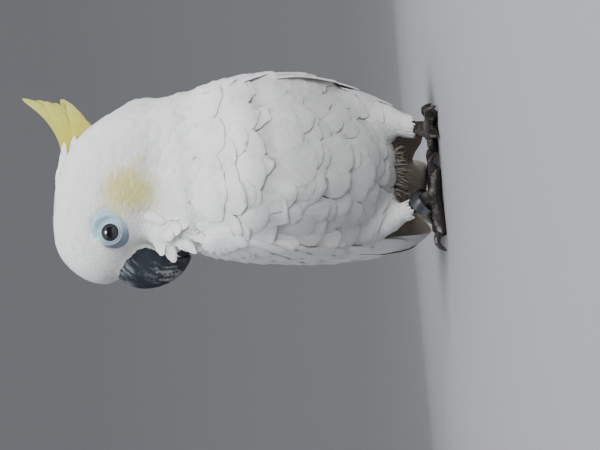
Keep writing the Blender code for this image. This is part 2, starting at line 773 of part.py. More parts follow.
def build():
    """Make every part in its place and give each its own material."""
    trunk, neck, head = make_body()

    eyes = {"right": make_eye("eye_right", RIGHT), "left": make_eye("eye_left", LEFT)}
    upper = make_upper_bill()
    lower = make_lower_bill()
    crest = make_crest()
    cut_clear(lower, [upper])
    cut_clear(head, [upper, lower, *eyes.values()])
    cut_crest_slot(head)

    wings = [make_wing("right", RIGHT), make_wing("left", LEFT)]
    for wing in wings:
        cut_clear(wing, [trunk, neck, head])
    tail = make_tail()
    cut_clear(tail, [trunk, *wings])

    finish(trunk, material("trunk_feathers", BODY_WHITE, 0.85))
    finish(neck, material("neck_feathers", BODY_WHITE, 0.85))
    finish(head, material("head_feathers", BODY_WHITE, 0.85))
    finish(crest, material("crest_feathers", CREST_YELLOW, 0.8))
    finish(tail, material("tail_feathers", TAIL_WHITE, 0.8))
    for wing in wings:
        finish(wing, material(wing.name + "_feathers", WING_WHITE, 0.8))
    for side, eye in eyes.items():
        finish(eye, material("eye_%s_wet" % side, EYE_BLACK, 0.08))
    finish(upper, material("beak_upper_horn", UPPER_HORN, 0.55))
    finish(lower, material("beak_lower_horn", LOWER_HORN, 0.55))

    ring = make_leg_ring()
    for side in ("right", "left"):
        thigh = make_thigh("thigh_" + side, THIGHS[side])
        foot = make_foot(side)
        claws = make_claws(side)
        wing = wings[0] if side == "right" else wings[1]
        cut_clear(thigh, [trunk, wing, ring])
        cut_clear(foot, [thigh, ring, *claws])
        flatten(foot)
        finish(thigh, material("thigh_%s_feathers" % side, BODY_WHITE, 0.85))
        finish(foot, material("foot_%s_skin" % side, FOOT_GREY, 0.7))
        for claw in claws:
            finish(claw, material(claw.name + "_horn", CLAW_BLACK, 0.4))
    finish(ring, material("leg_ring_steel", STEEL, 0.35, 1.0))

    for cutter in list(CUTTERS.objects):
        bpy.data.objects.remove(cutter, do_unlink=True)
    centre_on_floor()


build()
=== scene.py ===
"""A white sulphur-crested cockatoo at life size, standing, with a steel leg ring."""
import math

import bmesh
import bpy
import numpy as np
from mathutils import Matrix, Vector, noise
from mathutils.bvhtree import BVHTree


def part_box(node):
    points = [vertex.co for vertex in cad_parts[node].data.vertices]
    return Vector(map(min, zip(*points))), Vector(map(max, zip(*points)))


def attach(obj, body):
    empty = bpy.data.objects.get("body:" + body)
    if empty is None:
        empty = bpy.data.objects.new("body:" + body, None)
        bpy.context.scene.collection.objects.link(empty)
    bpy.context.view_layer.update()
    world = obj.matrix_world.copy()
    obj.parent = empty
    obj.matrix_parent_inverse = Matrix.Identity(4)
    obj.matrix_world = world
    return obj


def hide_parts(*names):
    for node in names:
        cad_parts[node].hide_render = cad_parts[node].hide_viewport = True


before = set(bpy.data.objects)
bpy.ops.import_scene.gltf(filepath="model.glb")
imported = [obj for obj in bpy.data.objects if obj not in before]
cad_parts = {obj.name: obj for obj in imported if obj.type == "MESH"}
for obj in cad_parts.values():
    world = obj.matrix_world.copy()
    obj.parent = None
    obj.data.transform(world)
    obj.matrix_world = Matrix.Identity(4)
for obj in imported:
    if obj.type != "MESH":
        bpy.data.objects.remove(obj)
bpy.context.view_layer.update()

# ------------------------------------------------------------------ studio
# The bird stands on the flat middle of a pale painted studio bowl, whose wall
# curves up all round it. Four soft lamps and the sky over the open top light it.
MM = 0.001
BOWL_FLAT = 1.5                # radius of the flat floor, in metres
BOWL_CURVE = 1.4               # radius of the curve up to the wall
BOWL_RIM = 3.0                 # height of the wall
BOWL_PAINT = "9C9C9F"
ROLLER_BUMPS = 0.7             # in a millimetre
ROUND_STEPS = 96               # corners round a turned form
SKY_COLOUR = "EEF1F5"
SKY_STRENGTH = 0.85


def linear(code):
    """Linear red, green, blue and alpha of an sRGB hex colour."""
    shares = [int(code[at:at + 2], 16) / 255 for at in (0, 2, 4)]
    return np.array([s / 12.92 if s <= 0.04045 else ((s + 0.055) / 1.055) ** 2.4
                     for s in shares] + [1.0])


def wire(tree, node, inputs):
    """Set or link a node's inputs; a node given as a value is linked by its live output."""
    for socket, value in inputs.items():
        if isinstance(value, bpy.types.Node):
            value = next(output for output in value.outputs if output.enabled)
        if isinstance(value, bpy.types.NodeSocket):
            tree.links.new(value, node.inputs[socket])
        else:
            node.inputs[socket].default_value = value
    return node


def add_node(tree, kind, inputs=None, **settings):
    """A new node with its own settings, and with its inputs set or linked."""
    node = tree.nodes.new(kind)
    for field, value in settings.items():
        setattr(node, field, value)
    return wire(tree, node, inputs or {})


def add_pattern(tree, kind, repeats, inputs=None, **settings):
    """A texture node on places of the object itself, with its repeats in a millimetre."""
    here = add_node(tree, "ShaderNodeTexCoord").outputs["Object"]
    return add_node(tree, kind, {"Vector": here, "Scale": repeats / MM, **(inputs or {})},
                    **settings)


def start_material(name, **values):
    """A material with a Principled shader whose named sockets are set."""
    made = bpy.data.materials.new(name)
    made.use_nodes = True
    shader = made.node_tree.nodes["Principled BSDF"]
    wire(made.node_tree, shader, {socket.replace("_", " "): value
                                  for socket, value in values.items()})
    return made, made.node_tree, shader


def into_scene(name, data):
    """A new object in the scene, from a mesh, a lamp or a camera."""
    made = bpy.data.objects.new(name, data)
    bpy.context.scene.collection.objects.link(made)
    return made


def mesh_piece(name, verts, faces):
    """A smooth object at the origin from plain lists of corners and faces."""
    data = bpy.data.meshes.new(name)
    data.from_pydata([tuple(vert) for vert in verts], [], [tuple(face) for face in faces])
    data.shade_smooth()
    return into_scene(name, data)


def turned(profile, closed=False):
    """Corners and faces of a profile of (radius, height), turned round the upright axis."""
    verts, faces, count = [], [], len(profile)
    for step in range(ROUND_STEPS):
        turn = 2 * math.pi * step / ROUND_STEPS
        verts += [(radius * math.cos(turn), radius * math.sin(turn), height)
                  for radius, height in profile]
        one, two = step * count, (step + 1) % ROUND_STEPS * count
        for row in range(count if closed else count - 1):
            after = (row + 1) % count
            faces.append((one + row, two + row, two + after, one + after))
    return verts, faces


bowl_profile = [(BOWL_FLAT + BOWL_CURVE, BOWL_RIM)]
for step in range(12, -1, -1):
    turn = math.radians(90 * step / 12)
    bowl_profile.append((BOWL_FLAT + BOWL_CURVE * math.sin(turn),
                         BOWL_CURVE * (1 - math.cos(turn))))
bowl_profile += [(1.0, 0.0), (0.5, 0.0), (0.02, 0.0)]
bowl_verts, bowl_faces = turned(bowl_profile)
bowl_faces.append(range(len(bowl_profile) - 1, len(bowl_verts), len(bowl_profile)))
studio_bowl = mesh_piece("studio_bowl", bowl_verts, bowl_faces)
# Matt wall paint over board: flat, with the faint tooth a roller leaves.
bowl_paint, tree, shader = start_material(
    "matt rolled paint", Base_Color=linear(BOWL_PAINT), Roughness=0.9)
wire(tree, shader, {"Normal": add_node(tree, "ShaderNodeBump", {
    "Height": add_pattern(tree, "ShaderNodeTexNoise", ROLLER_BUMPS),
    "Strength": 0.1, "Distance": 0.3 * MM})})
studio_bowl.data.materials.append(bowl_paint)

world = bpy.data.worlds.new("studio sky")
bpy.context.scene.world = world
world.use_nodes = True
wire(world.node_tree, world.node_tree.nodes["Background"],
     {"Color": linear(SKY_COLOUR), "Strength": SKY_STRENGTH})

LAMPS = [                      # name, stand, aimed at, size, watts, colour, seen in gloss
    ("window_lamp", (0.2, -0.8, 1.3), (0.0, -0.1, 0.16), 0.5, 15.0, "FAFCFE", True),
    ("front_lamp", (0.6, -1.15, 0.3), (0.0, -0.1, 0.1), 0.5, 14.8, "FCFCFC", False),
    ("fill_lamp", (-0.95, -0.6, 0.75), (0.0, -0.1, 0.14), 0.8, 2.6, "F1F4FF", False),
    ("back_lamp", (0.1, 1.1, 1.2), (0.0, 0.0, 0.14), 0.9, 6.5, "F7F8FF", True)]
for name, stand, target, size, watts, code, seen in LAMPS:
    lamp = bpy.data.lights.new(name, "AREA")
    lamp.energy = watts
    lamp.size = size
    lamp.color = linear(code)[:3]
    holder = into_scene(name, lamp)
    holder.visible_glossy = seen
    aim = (Vector(target) - Vector(stand)).to_track_quat("-Z", "Y")
    holder.matrix_world = Matrix.Translation(stand) @ aim.to_matrix().to_4x4()

# ------------------------------------------------------------------ camera
# A hand-held phone, low in front of the bird and turned a quarter, so the
# bird's head points to the left edge of the frame.
CAMERA_PLACE = (-0.0327, -0.6391, 0.028)
CAMERA_PITCH = math.radians(6.6)
CAMERA_ROLL = math.radians(-5.0)
SENSOR_WIDTH = 36.0
LENS = 51.6
NEAREST_SEEN = 0.01
ahead = Vector((0, math.cos(CAMERA_PITCH), math.sin(CAMERA_PITCH)))
level = Vector((1, 0, 0))
upright = level.cross(ahead)
level, upright = (level * math.cos(CAMERA_ROLL) + upright * math.sin(CAMERA_ROLL),
                  upright * math.cos(CAMERA_ROLL) - level * math.sin(CAMERA_ROLL))
camera_data = bpy.data.cameras.new("phone camera")
camera_data.sensor_width = SENSOR_WIDTH
camera_data.lens = LENS
camera_data.clip_start = NEAREST_SEEN
camera = into_scene("phone camera", camera_data)
camera.matrix_world = Matrix.Translation(CAMERA_PLACE) @ Matrix(
    (-upright, level, -ahead)).transposed().to_4x4()
bpy.context.scene.camera = camera

# ------------------------------------------------------------------ skin
# The flesh: one soft skin from the bill to the claws, over the arms of the wings
# and the root of the tail, a coat's depth inside the solids. Round each eye it is
# bare, pale blue and folded into lids, and below the ankles dark and scaled.
FLESH = ["trunk", "neck", "head", "thigh_left", "thigh_right", "foot_left", "foot_right"]
BILL = ["beak_upper", "beak_lower"]
WINGS = {"wing_left": 1, "wing_right": -1}     # and the side of the body
HEAD_YAW = math.radians(5.0)   # the face is turned to the bird's right, almost square
HEAD_Y = -18.0                 # middle plane of the head, in body millimetres
EYE_PLACE = (26.9, 20.2, 200.5)     # forward, to the side, height
EYE_RADIUS = 6.6
COLLAR = (150.0, -0.03)        # height of the head's lower edge: in the middle, per mm forward
SKIN_VOXEL = 1.35
SKIN_SMOOTHING = 16
JOIN_SMOOTHING = 6
FILL_SMOOTHING = 10
COAT_SMOOTHING = 3
HOLLOW_FILL = 4.5              # folds narrower than twice this close under wings and thighs
COAT_DEPTH = 2.2               # of the body feathers, over the skin
HEAD_COAT_DEPTH = 0.7
BILL_DEPTH = 1.6
EYE_HOLLOW = 2.6               # the sheet of bare skin lies in it
LEG_COAT_DEPTH = 0.9
WING_COAT_DEPTH = 1.9
WING_CUT = 60.0                # below this height a wing is feathers only
TAIL_CUT = 136.0               # behind this the tail is feathers only
WING_HEADING = (0.0, 0.81, -0.58)
FOOT_VOXEL = 0.5
FOOT_SMOOTHING = 4
FLANKS = [((-37, 22, 62), (13.5, 30, 26)), ((42, 22, 60), (13.5, 30, 27))]   # place, radii
SHANKS = {"right": ((-28.2, 7.4, 30), (-24, 2, 17), (-19.5, -3.2, 6.5)),
          "left": ((26.5, 5, 24), (24.5, 1, 14), (22.5, -3, 6))}
SHANK_RADIUS = 4.2
LID_RADIUS = 5.15              # opening between the lids
FACE_SIDE = 14                 # farther out than this is the side of the head
EYE_RING_REACH = [(0, 13.0), (14, 13.9), (38, 11.7), (75, 11.5), (100, 11.2), (150, 8.8),
                  (180, 7.8), (225, 8.2), (270, 9.0), (315, 9.9), (345, 11.4), (360, 13.0)]


def head_mm(forward, side, height):
    """Body millimetres of a point on the turned head; side is to its left."""
    return np.array([-forward * math.cos(HEAD_YAW) + side * math.sin(HEAD_YAW),
                     HEAD_Y - forward * math.sin(HEAD_YAW) - side * math.cos(HEAD_YAW), height])


eye_low, eye_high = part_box("eye_left")
ORIGIN = np.array((eye_low + eye_high) / 2) - head_mm(*EYE_PLACE) * MM


def place(point):
    """Row-frame metres of a point in body millimetres."""
    return Vector(np.asarray(point, float) * MM + ORIGIN)


def ease(low, high, value):
    """0 below low, 1 above high, and a smooth step between them."""
    share = np.clip((np.asarray(value, float) - low) / (high - low), 0, 1)
    return share * share * (3 - 2 * share)


def hump(middle, width, value):
    """1 at the middle, falling to 0 on both sides over the width."""
    return np.exp(-((np.asarray(value, float) - middle) / width) ** 2)


def unit(vectors):
    """Rows of vectors with length 1."""
    return vectors / np.maximum(np.linalg.norm(vectors, axis=-1, keepdims=True), 1e-9)


def copied(nodes, cut=None, away=None):
    """A bmesh of CAD nodes with merged corners, cut off beyond a plane and closed."""
    mesh = bmesh.new()
    for node in nodes:
        mesh.from_mesh(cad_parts[node].data)
    bmesh.ops.remove_doubles(mesh, verts=mesh.verts, dist=0.00002)
    if cut is not None:
        geometry = mesh.verts[:] + mesh.edges[:] + mesh.faces[:]
        bmesh.ops.bisect_plane(mesh, geom=geometry, plane_co=cut, plane_no=away,
                               clear_outer=True)
        bmesh.ops.holes_fill(mesh, edges=[edge for edge in mesh.edges if edge.is_boundary])
    return mesh


def from_bmesh(name, mesh):
    """An object from a bmesh, which is used up."""
    data = bpy.data.meshes.new(name)
    mesh.to_mesh(data)
    mesh.free()
    return into_scene(name, data)


def baked(item, name):
    """The evaluated shape of an object as a new plain object; the old one goes."""
    graph = bpy.context.evaluated_depsgraph_get()
    data = bpy.data.meshes.new_from_object(item.evaluated_get(graph),
                                           preserve_all_data_layers=True, depsgraph=graph)
    data.name = name
    bpy.data.objects.remove(item)
    return into_scene(name, data)


def melted(item, name, voxel, smoothing):
    """An object fused on a grid, unless the voxel is 0, and smoothed."""
    if voxel:
        fusing = item.modifiers.new("fuse", "REMESH")
        fusing.mode = "VOXEL"
        fusing.voxel_size = voxel * MM
        fusing.use_smooth_shade = True
    easing = item.modifiers.new("ease", "SMOOTH")
    easing.factor = 0.5
    easing.iterations = smoothing
    return baked(item, name)


def fused(name, meshes, voxel, smoothing):
    """Closed forms fused on a grid and smoothed, as one object."""
    whole = bmesh.new()
    for mesh in meshes:
        part = bpy.data.meshes.new("part")
        mesh.to_mesh(part)
        mesh.free()
        whole.from_mesh(part)
        bpy.data.meshes.remove(part)
    return melted(from_bmesh(name + "_form", whole), name, voxel, smoothing)


def corners(data, field="co"):
    """The place, or as "normal" the way out, of each corner of a mesh as rows."""
    rows = np.empty(len(data.vertices) * 3, np.float32)
    data.vertices.foreach_get(field, rows)
    return rows.reshape(-1, 3).astype(float)


def move_corners(data, rows):
    """Put the corners of a mesh at new places."""
    data.vertices.foreach_set("co", rows.astype(np.float32).ravel())
    data.update()


def push(item, distance):
    """Move each corner outward by its own distance in millimetres."""
    move_corners(item.data, corners(item.data) + corners(item.data, "normal")
                 * np.asarray(distance)[:, None] * MM)


def head_shares(points):
    """Forward, side and height on the head, for rows of body millimetres."""
    dx, dy = points[:, 0], points[:, 1] - HEAD_Y
    forward = -dx * math.cos(HEAD_YAW) - dy * math.sin(HEAD_YAW)
    side = dx * math.sin(HEAD_YAW) - dy * math.cos(HEAD_YAW)
    return forward, side, points[:, 2]


def tree_of(nodes):
    """A search tree over the faces of CAD nodes."""
    mesh = copied(nodes)
    tree = BVHTree.FromBMesh(mesh)
    mesh.free()
    return tree


def nearness(points, tree, reach):
    """1 on the form of a search tree and 0 farther than reach millimetres from it."""
    gaps = np.array([tree.find_nearest(place(point))[3] for point in points]) / MM
    return 1 - ease(0.0, reach, gaps)


def noises(points, *waves):
    """Noise at each point: a sum over the waves, each a width in millimetres and a weight."""
    return np.array([sum(weight * noise.noise(Vector(point) / width) for width, weight in waves)
                     for point in points])


def ring_reach(angles):
    """How far the bare ring round the eye reaches at an angle."""
    return np.interp(np.asarray(angles) % 360, *zip(*EYE_RING_REACH))


def above_collar(points):
    """Millimetres above the line where the head's feathers end on the neck."""
    forward, _, height = head_shares(points)
    return height - COLLAR[0] - COLLAR[1] * forward


def millimetres(item):
    """Corner places of an object as rows of body millimetres."""
    return (corners(item.data) - ORIGIN) / MM


bill_tree, wing_tree, thigh_tree = (
    tree_of(nodes) for nodes in (BILL, WINGS, ["thigh_left", "thigh_right"]))


def survey(item):
    """Where each corner lies and faces, and its share of each part of the bird."""
    body = millimetres(item)
    forward, side, height = head_shares(body)
    collar_gap = above_collar(body)
    on_head = ease(-1.0, 2.5, collar_gap)
    on_bill = nearness(body, bill_tree, 1.6) * (on_head > 0)
    on_thigh, on_wing = nearness(body, thigh_tree, 7.0), nearness(body, wing_tree, 3.5)
    rear, up = EYE_PLACE[0] - forward, height - EYE_PLACE[2]
    rim_gap = np.hypot(rear, up) - ring_reach(np.degrees(np.arctan2(up, rear)))
    beside = (np.abs(side) > FACE_SIDE) * (on_head > 0.5)
    return (body, corners(item.data, "normal"), forward, side, height, collar_gap,
            on_head, on_bill, on_thigh, on_wing, rim_gap, beside)


forms = [copied(FLESH[:5] + BILL + ["eye_left", "eye_right"])]
forms += [copied([wing], place((0, 0, WING_CUT)), (0, 0, -1)) for wing in WINGS]
forms.append(copied(["tail"], place((0, TAIL_CUT, 0)), (0, 1, 0)))
for middle, radii in FLANKS:
    flank = bmesh.new()
    bmesh.ops.create_uvsphere(flank, u_segments=24, v_segments=16, radius=MM,
                              matrix=Matrix.Translation(place(middle)) @ Matrix.Diagonal(
                                  (*radii, 1.0)))
    forms.append(flank)
skin = fused("skin", forms, SKIN_VOXEL, JOIN_SMOOTHING)
# Narrow folds close: the form is filled out, melted, drawn in and melted again.
for way, smoothing in ((1, FILL_SMOOTHING), (-1, SKIN_SMOOTHING)):
    body = millimetres(skin)
    filling = HOLLOW_FILL * (1 - ease(-16, 0, above_collar(body))) * ease(22, 32, body[:, 2])
    push(skin, way * filling)
    skin = melted(skin, "skin", SKIN_VOXEL, smoothing)
head_tree = BVHTree.FromObject(skin, bpy.context.evaluated_depsgraph_get())

(body, facing, forward, side, height, collar_gap,
 on_head, on_bill, on_thigh, on_wing, rim_gap, beside) = survey(skin)
in_ring = (1 - ease(0, 2.0, rim_gap + 1.0)) * beside
depth = COAT_DEPTH + (HEAD_COAT_DEPTH - COAT_DEPTH) * on_head
depth += (LEG_COAT_DEPTH - depth) * on_thigh * ease(75, 50, height)
depth += (WING_COAT_DEPTH - depth) * on_wing
depth -= 1.2 * hump(4, 6, collar_gap) - 1.6 * hump(-5, 4.5, collar_gap)
# Soft cushions of plumage, and the ledge where the full breast ends.
LEDGE_HEIGHT = 103
puffs = noises(body, (15.0, 1), (7.0, 0.5))
ledge = LEDGE_HEIGHT + 0.004 * body[:, 0] ** 2 + 5 * puffs
chest = (1 - ease(0, 20, body[:, 1])) * (1 - on_head) * (1 - on_wing)
depth -= (puffs * (0.25 + 1.0 * (1 - on_head)) * ease(30, 60, height) * (1 - 0.6 * on_wing)
          + (2.0 * hump(7, 8, height - ledge) - 1.6 * hump(-6, 7, height - ledge)) * chest)
depth += (BILL_DEPTH - depth) * on_bill + EYE_HOLLOW * in_ring * (1 - on_bill)
push(skin, -depth)
skin = melted(skin, "skin", 0, COAT_SMOOTHING)


def tube(places, radius):
    """A closed tube along a line of places in body millimetres."""
    points = 20
    mesh = bmesh.new()
    rows = []
    for index, spot in enumerate(places):
        before, after = places[max(0, index - 1)], places[min(len(places) - 1, index + 1)]
        along = Vector(np.subtract(after, before)).normalized()
        across = along.orthogonal().normalized()
        other = along.cross(across)
        rows.append([mesh.verts.new(place(np.array(spot) + radius * np.array(
            across * math.cos(2 * math.pi * step / points)
            + other * math.sin(2 * math.pi * step / points)))) for step in range(points)])
    for one, two in zip(rows, rows[1:]):
        for step in range(points):
            after = (step + 1) % points
            mesh.faces.new((one[step], one[after], two[after], two[step]))
    mesh.faces.new(rows[0][::-1])
    mesh.faces.new(rows[-1])
    bmesh.ops.recalc_face_normals(mesh, faces=mesh.faces)
    return mesh


# The feet, fused finely, with the shank carried up inside the thigh, and
# raised in rows of scutes over the toes.
SCUTE_STEP = 2.3               # along shank and toes
SCUTE_RISE = 0.3
GRAIN_RISE = 0.256
SOLE_LOWEST = 0.02             # over the floor
feet = fused("feet", [copied(["foot_left", "foot_right"])]
             + [tube(places, SHANK_RADIUS) for places in SHANKS.values()],
             FOOT_VOXEL, FOOT_SMOOTHING)
soles, facing = millimetres(feet), corners(feet.data, "normal")
foot_middle = np.array([SHANKS["left" if point[0] > 0 else "right"][2] for point in soles])
scute_way = np.linalg.norm(soles - foot_middle, axis=1) / SCUTE_STEP
scute = np.abs(np.sin(math.pi * scute_way)) ** 0.6 - 0.7
grain = np.array([noise.noise(Vector(point) * 0.9) for point in soles])
over = ease(-0.25, 0.35, facing[:, 2] + 0.4 * ease(7, 10, soles[:, 2]))
push(feet, SCUTE_RISE * scute * over + GRAIN_RISE * grain * (1 - 0.5 * over))
soles = corners(feet.data)
soles[:, 2] = np.maximum(soles[:, 2], SOLE_LOWEST * MM)
move_corners(feet.data, soles)

# The bare ring round each eye: a fine sheet of skin that rolls into the lid,
# folds twice round it and slips under the feathers at its pointed rim.
RING_ROWS = 30
RING_COLUMNS = 120
LID_PLACE = 24.95              # how far out the lid's edge lies
LID_PROFILE = [                # from the eye's axis, out from the lid's place
    (5.15, -0.5), (5.2, 0.0), (5.45, 0.42), (5.85, 0.55), (6.2, 0.35), (6.5, 0.0), (6.8, 0.12),
    (7.3, 0.45), (7.8, 0.4), (8.2, 0.2), (9.0, 0.4), (14.0, 0.4)]
BARE_DEPTH = 0.5               # of the bare skin under the line of the feathers
RIM_REACH = 2.2                # of the sheet past the bare ring
RIM_DEPTH = 2.4                # of its outer edge under the feathers
OUTSIDE = 60                   # farther out than any part of the head


def eye_ring(sign):
    """The closed sheet of bare skin round one eye, and its corners' gaps and angles."""
    verts, gaps, angles, faces = [], [], [], []
    inward = (place(head_mm(0, -sign, 0)) - place(head_mm(0, 0, 0))).normalized()
    for row in range(RING_ROWS):
        for column in range(RING_COLUMNS):
            angle = 2 * math.pi * column / RING_COLUMNS
            reach = float(ring_reach(math.degrees(angle))) + RIM_REACH
            gap = LID_RADIUS + (reach - LID_RADIUS) * (row / (RING_ROWS - 1)) ** 1.25
            forward_at = EYE_PLACE[0] - gap * math.cos(angle)
            height_at = EYE_PLACE[2] + gap * math.sin(angle)
            start = place(head_mm(forward_at, OUTSIDE * sign, height_at))
            hit = (np.array([head_tree.ray_cast(start, inward)[0]]) - ORIGIN) / MM
            out_at = LID_PLACE + np.interp(gap, *zip(*LID_PROFILE))
            out_at += (abs(head_shares(hit)[1][0]) - BARE_DEPTH - out_at) * float(
                ease(7.0, 10.5, gap))
            wrinkle = noise.noise(Vector((gap * 1.5, angle * 3.2, sign * 9.0)))
            fold = math.sin(gap * 6.2 + 2.2 * noise.noise(Vector((gap * 0.5, angle * 1.3, sign))))
            out_at += (0.10 * wrinkle + 0.09 * fold) * float(ease(6.3, 7.5, gap))
            out_at -= RIM_DEPTH * float(ease(reach - RIM_DEPTH, reach, gap))
            verts.append(place(head_mm(forward_at, out_at * sign, height_at)))
            gaps.append(gap)
            angles.append(math.degrees(angle))
    for row in range(RING_ROWS - 1):
        for column in range(RING_COLUMNS):
            after = (column + 1) % RING_COLUMNS
            quad = (row * RING_COLUMNS + column, row * RING_COLUMNS + after,
                    (row + 1) * RING_COLUMNS + after, (row + 1) * RING_COLUMNS + column)
            faces.append(quad if sign < 0 else quad[::-1])
    last = (RING_ROWS - 1) * RING_COLUMNS
    for start, deep in ((0, 2.5), (last, 6.0)):
        verts.append(place(head_mm(EYE_PLACE[0], (EYE_PLACE[1] - deep) * sign, EYE_PLACE[2])))
        gaps.append(0.0)
        angles.append(0.0)
        for column in range(RING_COLUMNS):
            edge = (start + (column + 1) % RING_COLUMNS, start + column, len(verts) - 1)
            faces.append(edge if (start == 0) == (sign < 0) else edge[::-1])
    return mesh_piece("eye_ring", verts, faces), gaps, angles


(left_ring, *left_shares), (right_ring, *right_shares) = (eye_ring(sign) for sign in (1, -1))
ring_gap, ring_angle = np.concatenate([left_shares, right_shares], axis=1)

# One skin of the three: body, bare rings and feet.
BODY_SKIN, RING_SKIN, FOOT_SKIN = range(3)
finish_of = []
whole = bmesh.new()
for finish, item in ((BODY_SKIN, skin), (RING_SKIN, left_ring), (RING_SKIN, right_ring),
                     (FOOT_SKIN, feet)):
    finish_of += [finish] * len(item.data.vertices)
    first_face = len(whole.faces)
    whole.from_mesh(item.data)
    whole.faces.ensure_lookup_table()
    for face in whole.faces[first_face:]:
        face.material_index = finish
        face.smooth = True
    bpy.data.objects.remove(item)
skin = from_bmesh("skin", whole)
is_ring, is_foot = (np.array(finish_of) == finish for finish in (RING_SKIN, FOOT_SKIN))

# The lie of the coat, the size of its feathers and its colours, over the skin.
LIE_POLE = (54, 0, 197)        # on the forehead, where all feathers point away from
BILL_ROOT = (50, 0, 196)
(body, facing, forward, side, height, _,
 on_head, on_bill, on_thigh, on_wing, rim_gap, beside) = survey(skin)


def blend(first, second, share):
    """From the first colour or direction to the second by a share, row by row."""
    return first + (second - first) * np.asarray(share)[..., None]


trunk_way = np.stack([0.1 * np.sign(body[:, 0]), 0.15 + 0.75 * ease(150, 70, height),
                      -1.0 + 0.6 * ease(110, 40, height)], axis=1)
lie = unit(body - head_mm(*LIE_POLE)) + np.array((0, 0, -0.16))
lie = blend(lie, unit(trunk_way), 1 - on_head)
lie = blend(lie, np.array(WING_HEADING), on_wing)
lie = blend(lie, np.array((0, -0.1, -1.0)), on_thigh * ease(70, 45, height))
lie = unit(lie - facing * (lie * facing).sum(1)[:, None])
bill_gap = np.linalg.norm(np.stack([forward, side, height], axis=1) - BILL_ROOT, axis=1)
head_length = np.interp(bill_gap, [12, 25, 45, 70, 100], [3.4, 6.2, 10.0, 13.0, 15.0])
feather_length = np.interp(height, [22, 35, 60, 100, 130, 170], [9, 15, 21, 26, 25, 21])
feather_length += (head_length - feather_length) * on_head
feather_length += (np.interp(height, [15, 34, 60], [4.5, 7.5, 13]) - feather_length) * (
    on_thigh * ease(75, 50, height))
slimness = 0.82 - 0.42 * on_head
feather = np.stack([feather_length * slimness, feather_length, np.interp(
    feather_length, [2.5, 6, 12, 26], [0.45, 0.75, 1.5, 3.0]) * (1 - 0.45 * on_head)], axis=1)

# Where each tract of feathers grows, 0 to 1 over the skin.
bare = (1 - ease(-0.4, 1.0, rim_gap)) * beside
covered = 1 - np.clip(np.maximum(bare, on_bill > 0.35), 0, 1)
covered *= ~(is_ring | is_foot)
wing_face = on_wing * ease(-0.15, 0.25, facing[:, 1] + 0.15)
off_wing = 1 - wing_face
vent = ease(46, 36, height) * ease(18, 34, body[:, 1]) * ease(0.35, 0.0, facing[:, 2])
vent *= (1 - on_wing) * (1 - on_thigh)
tracts = {
    "face": (1 - ease(26, 30, bill_gap)) * (on_head > 0.5),
    "cheek": ease(24, 28, bill_gap) * (1 - ease(58, 64, bill_gap)) * (on_head > 0.5),
    "nape": ease(56, 62, bill_gap) * on_head,
    "crown": ease(226, 232, height) * (np.abs(side) < 19) * ease(40, 28, forward) * on_head,
    "throat": (on_head < 0.6) * ease(138, 146, height),
    "breast": (on_head < 0.3) * ease(93, 101, height) * (1 - ease(140, 150, height)) * off_wing,
    "belly": (1 - ease(95, 103, height)) * off_wing * (1 - on_thigh * ease(62, 50, height)),
    "thigh": on_thigh * ease(66, 56, height),
    "shoulder": wing_face * ease(62, 72, height),
    "vent": vent}
EAR_PLACE = (9.5, 188.5)       # forward and height of the yellow patch
EAR_RADII = (15.0, 18.5)
plumage_white = linear("EDEEEC")
ear_yellow = linear("D4CC62")
stain_and_shade_brown = linear("8F7D66")
bare_blue = linear("ACC9D8")
bare_grey = linear("8E9CAA")
foot_grey = linear("33302F")
foot_dust = linear("8F8B88")
marks = noises(body, (6.0, 1), (2.4, 0.5))
ear_gap = np.hypot((forward - EAR_PLACE[0]) / EAR_RADII[0],
                   (height - EAR_PLACE[1]) / EAR_RADII[1]) + 0.10 * marks
in_ear = (1 - ease(0.35, 1.1, ear_gap)) * (np.abs(side) > 12) * on_head
stained = (1 - ease(30, 46, height + 5 * marks)) * ease(2, 26, body[:, 1])
stained *= (1 - ease(24, 34, np.abs(body[:, 0] + 1))) * ease(0.35, 0.0, facing[:, 2])
stained *= 1 - on_thigh
plumage = blend(plumage_white, ear_yellow, 0.8 * in_ear)
plumage = blend(plumage, stain_and_shade_brown, 0.85 * stained)
# The plumage is made slightly darker below 150 mm. On the belly under the breast's ledge it is
# painted up to a quarter darker, as shade from the light above.
belly_painted_shade = ease(128, 98, height) * (1 - on_thigh) * (1 - on_wing)
plumage *= (1 - 0.05 * ease(150, 135, height) - 0.24 * belly_painted_shade)[:, None]
# Near the bill the plumage is browned: partly a stain, partly painted shadow under the feathers
# that overhang the bill's root.
stain_and_shade_at_bill = nearness(body, bill_tree, 5.0) * on_head * (0.5 + 0.6 * marks)
plumage = blend(plumage, stain_and_shade_brown, np.clip(0.4 * stain_and_shade_at_bill, 0, 1))
ring_tone = blend(bare_blue, bare_grey, ease(95, 175, ring_angle) * ease(345, 250, ring_angle))
# Painted shade: the bare skin is darker where the lid meets the eye and in the bottoms of its two
# folds.
fold_painted_shade = 0.45 * hump(5.2, 0.25, ring_gap) + 0.3 * hump(6.55, 0.22, ring_gap) + 0.2 * hump(
    8.2, 0.3, ring_gap)
plumage[is_ring] = np.clip(ring_tone * (1 - fold_painted_shade + 0.12 * marks[is_ring])[:, None], 0, 1)
dusted = np.clip(0.30 + 0.9 * marks[is_foot], 0, 1) ** 1.5 * ease(-0.2, 0.6, facing[is_foot, 2])
# Painted light and shade: the scutes' crests on the upper faces are made lighter, and the grooves
# and the lower faces darker.
plumage[is_foot] = blend(foot_grey, foot_dust, 0.75 * dusted) * (
    0.72 + 0.42 * (scute + 0.7) * over)[:, None]


def mark(item, label, kind, values, domain="POINT"):
    """Store a value for each corner, edge or face of an object's mesh."""
    field = {"FLOAT_VECTOR": "vector", "FLOAT_COLOR": "color"}.get(kind, "value")
    values = np.asarray(values, bool if kind == "BOOLEAN" else np.float32).ravel()
    item.data.attributes.new(label, kind, domain).data.foreach_set(field, values)


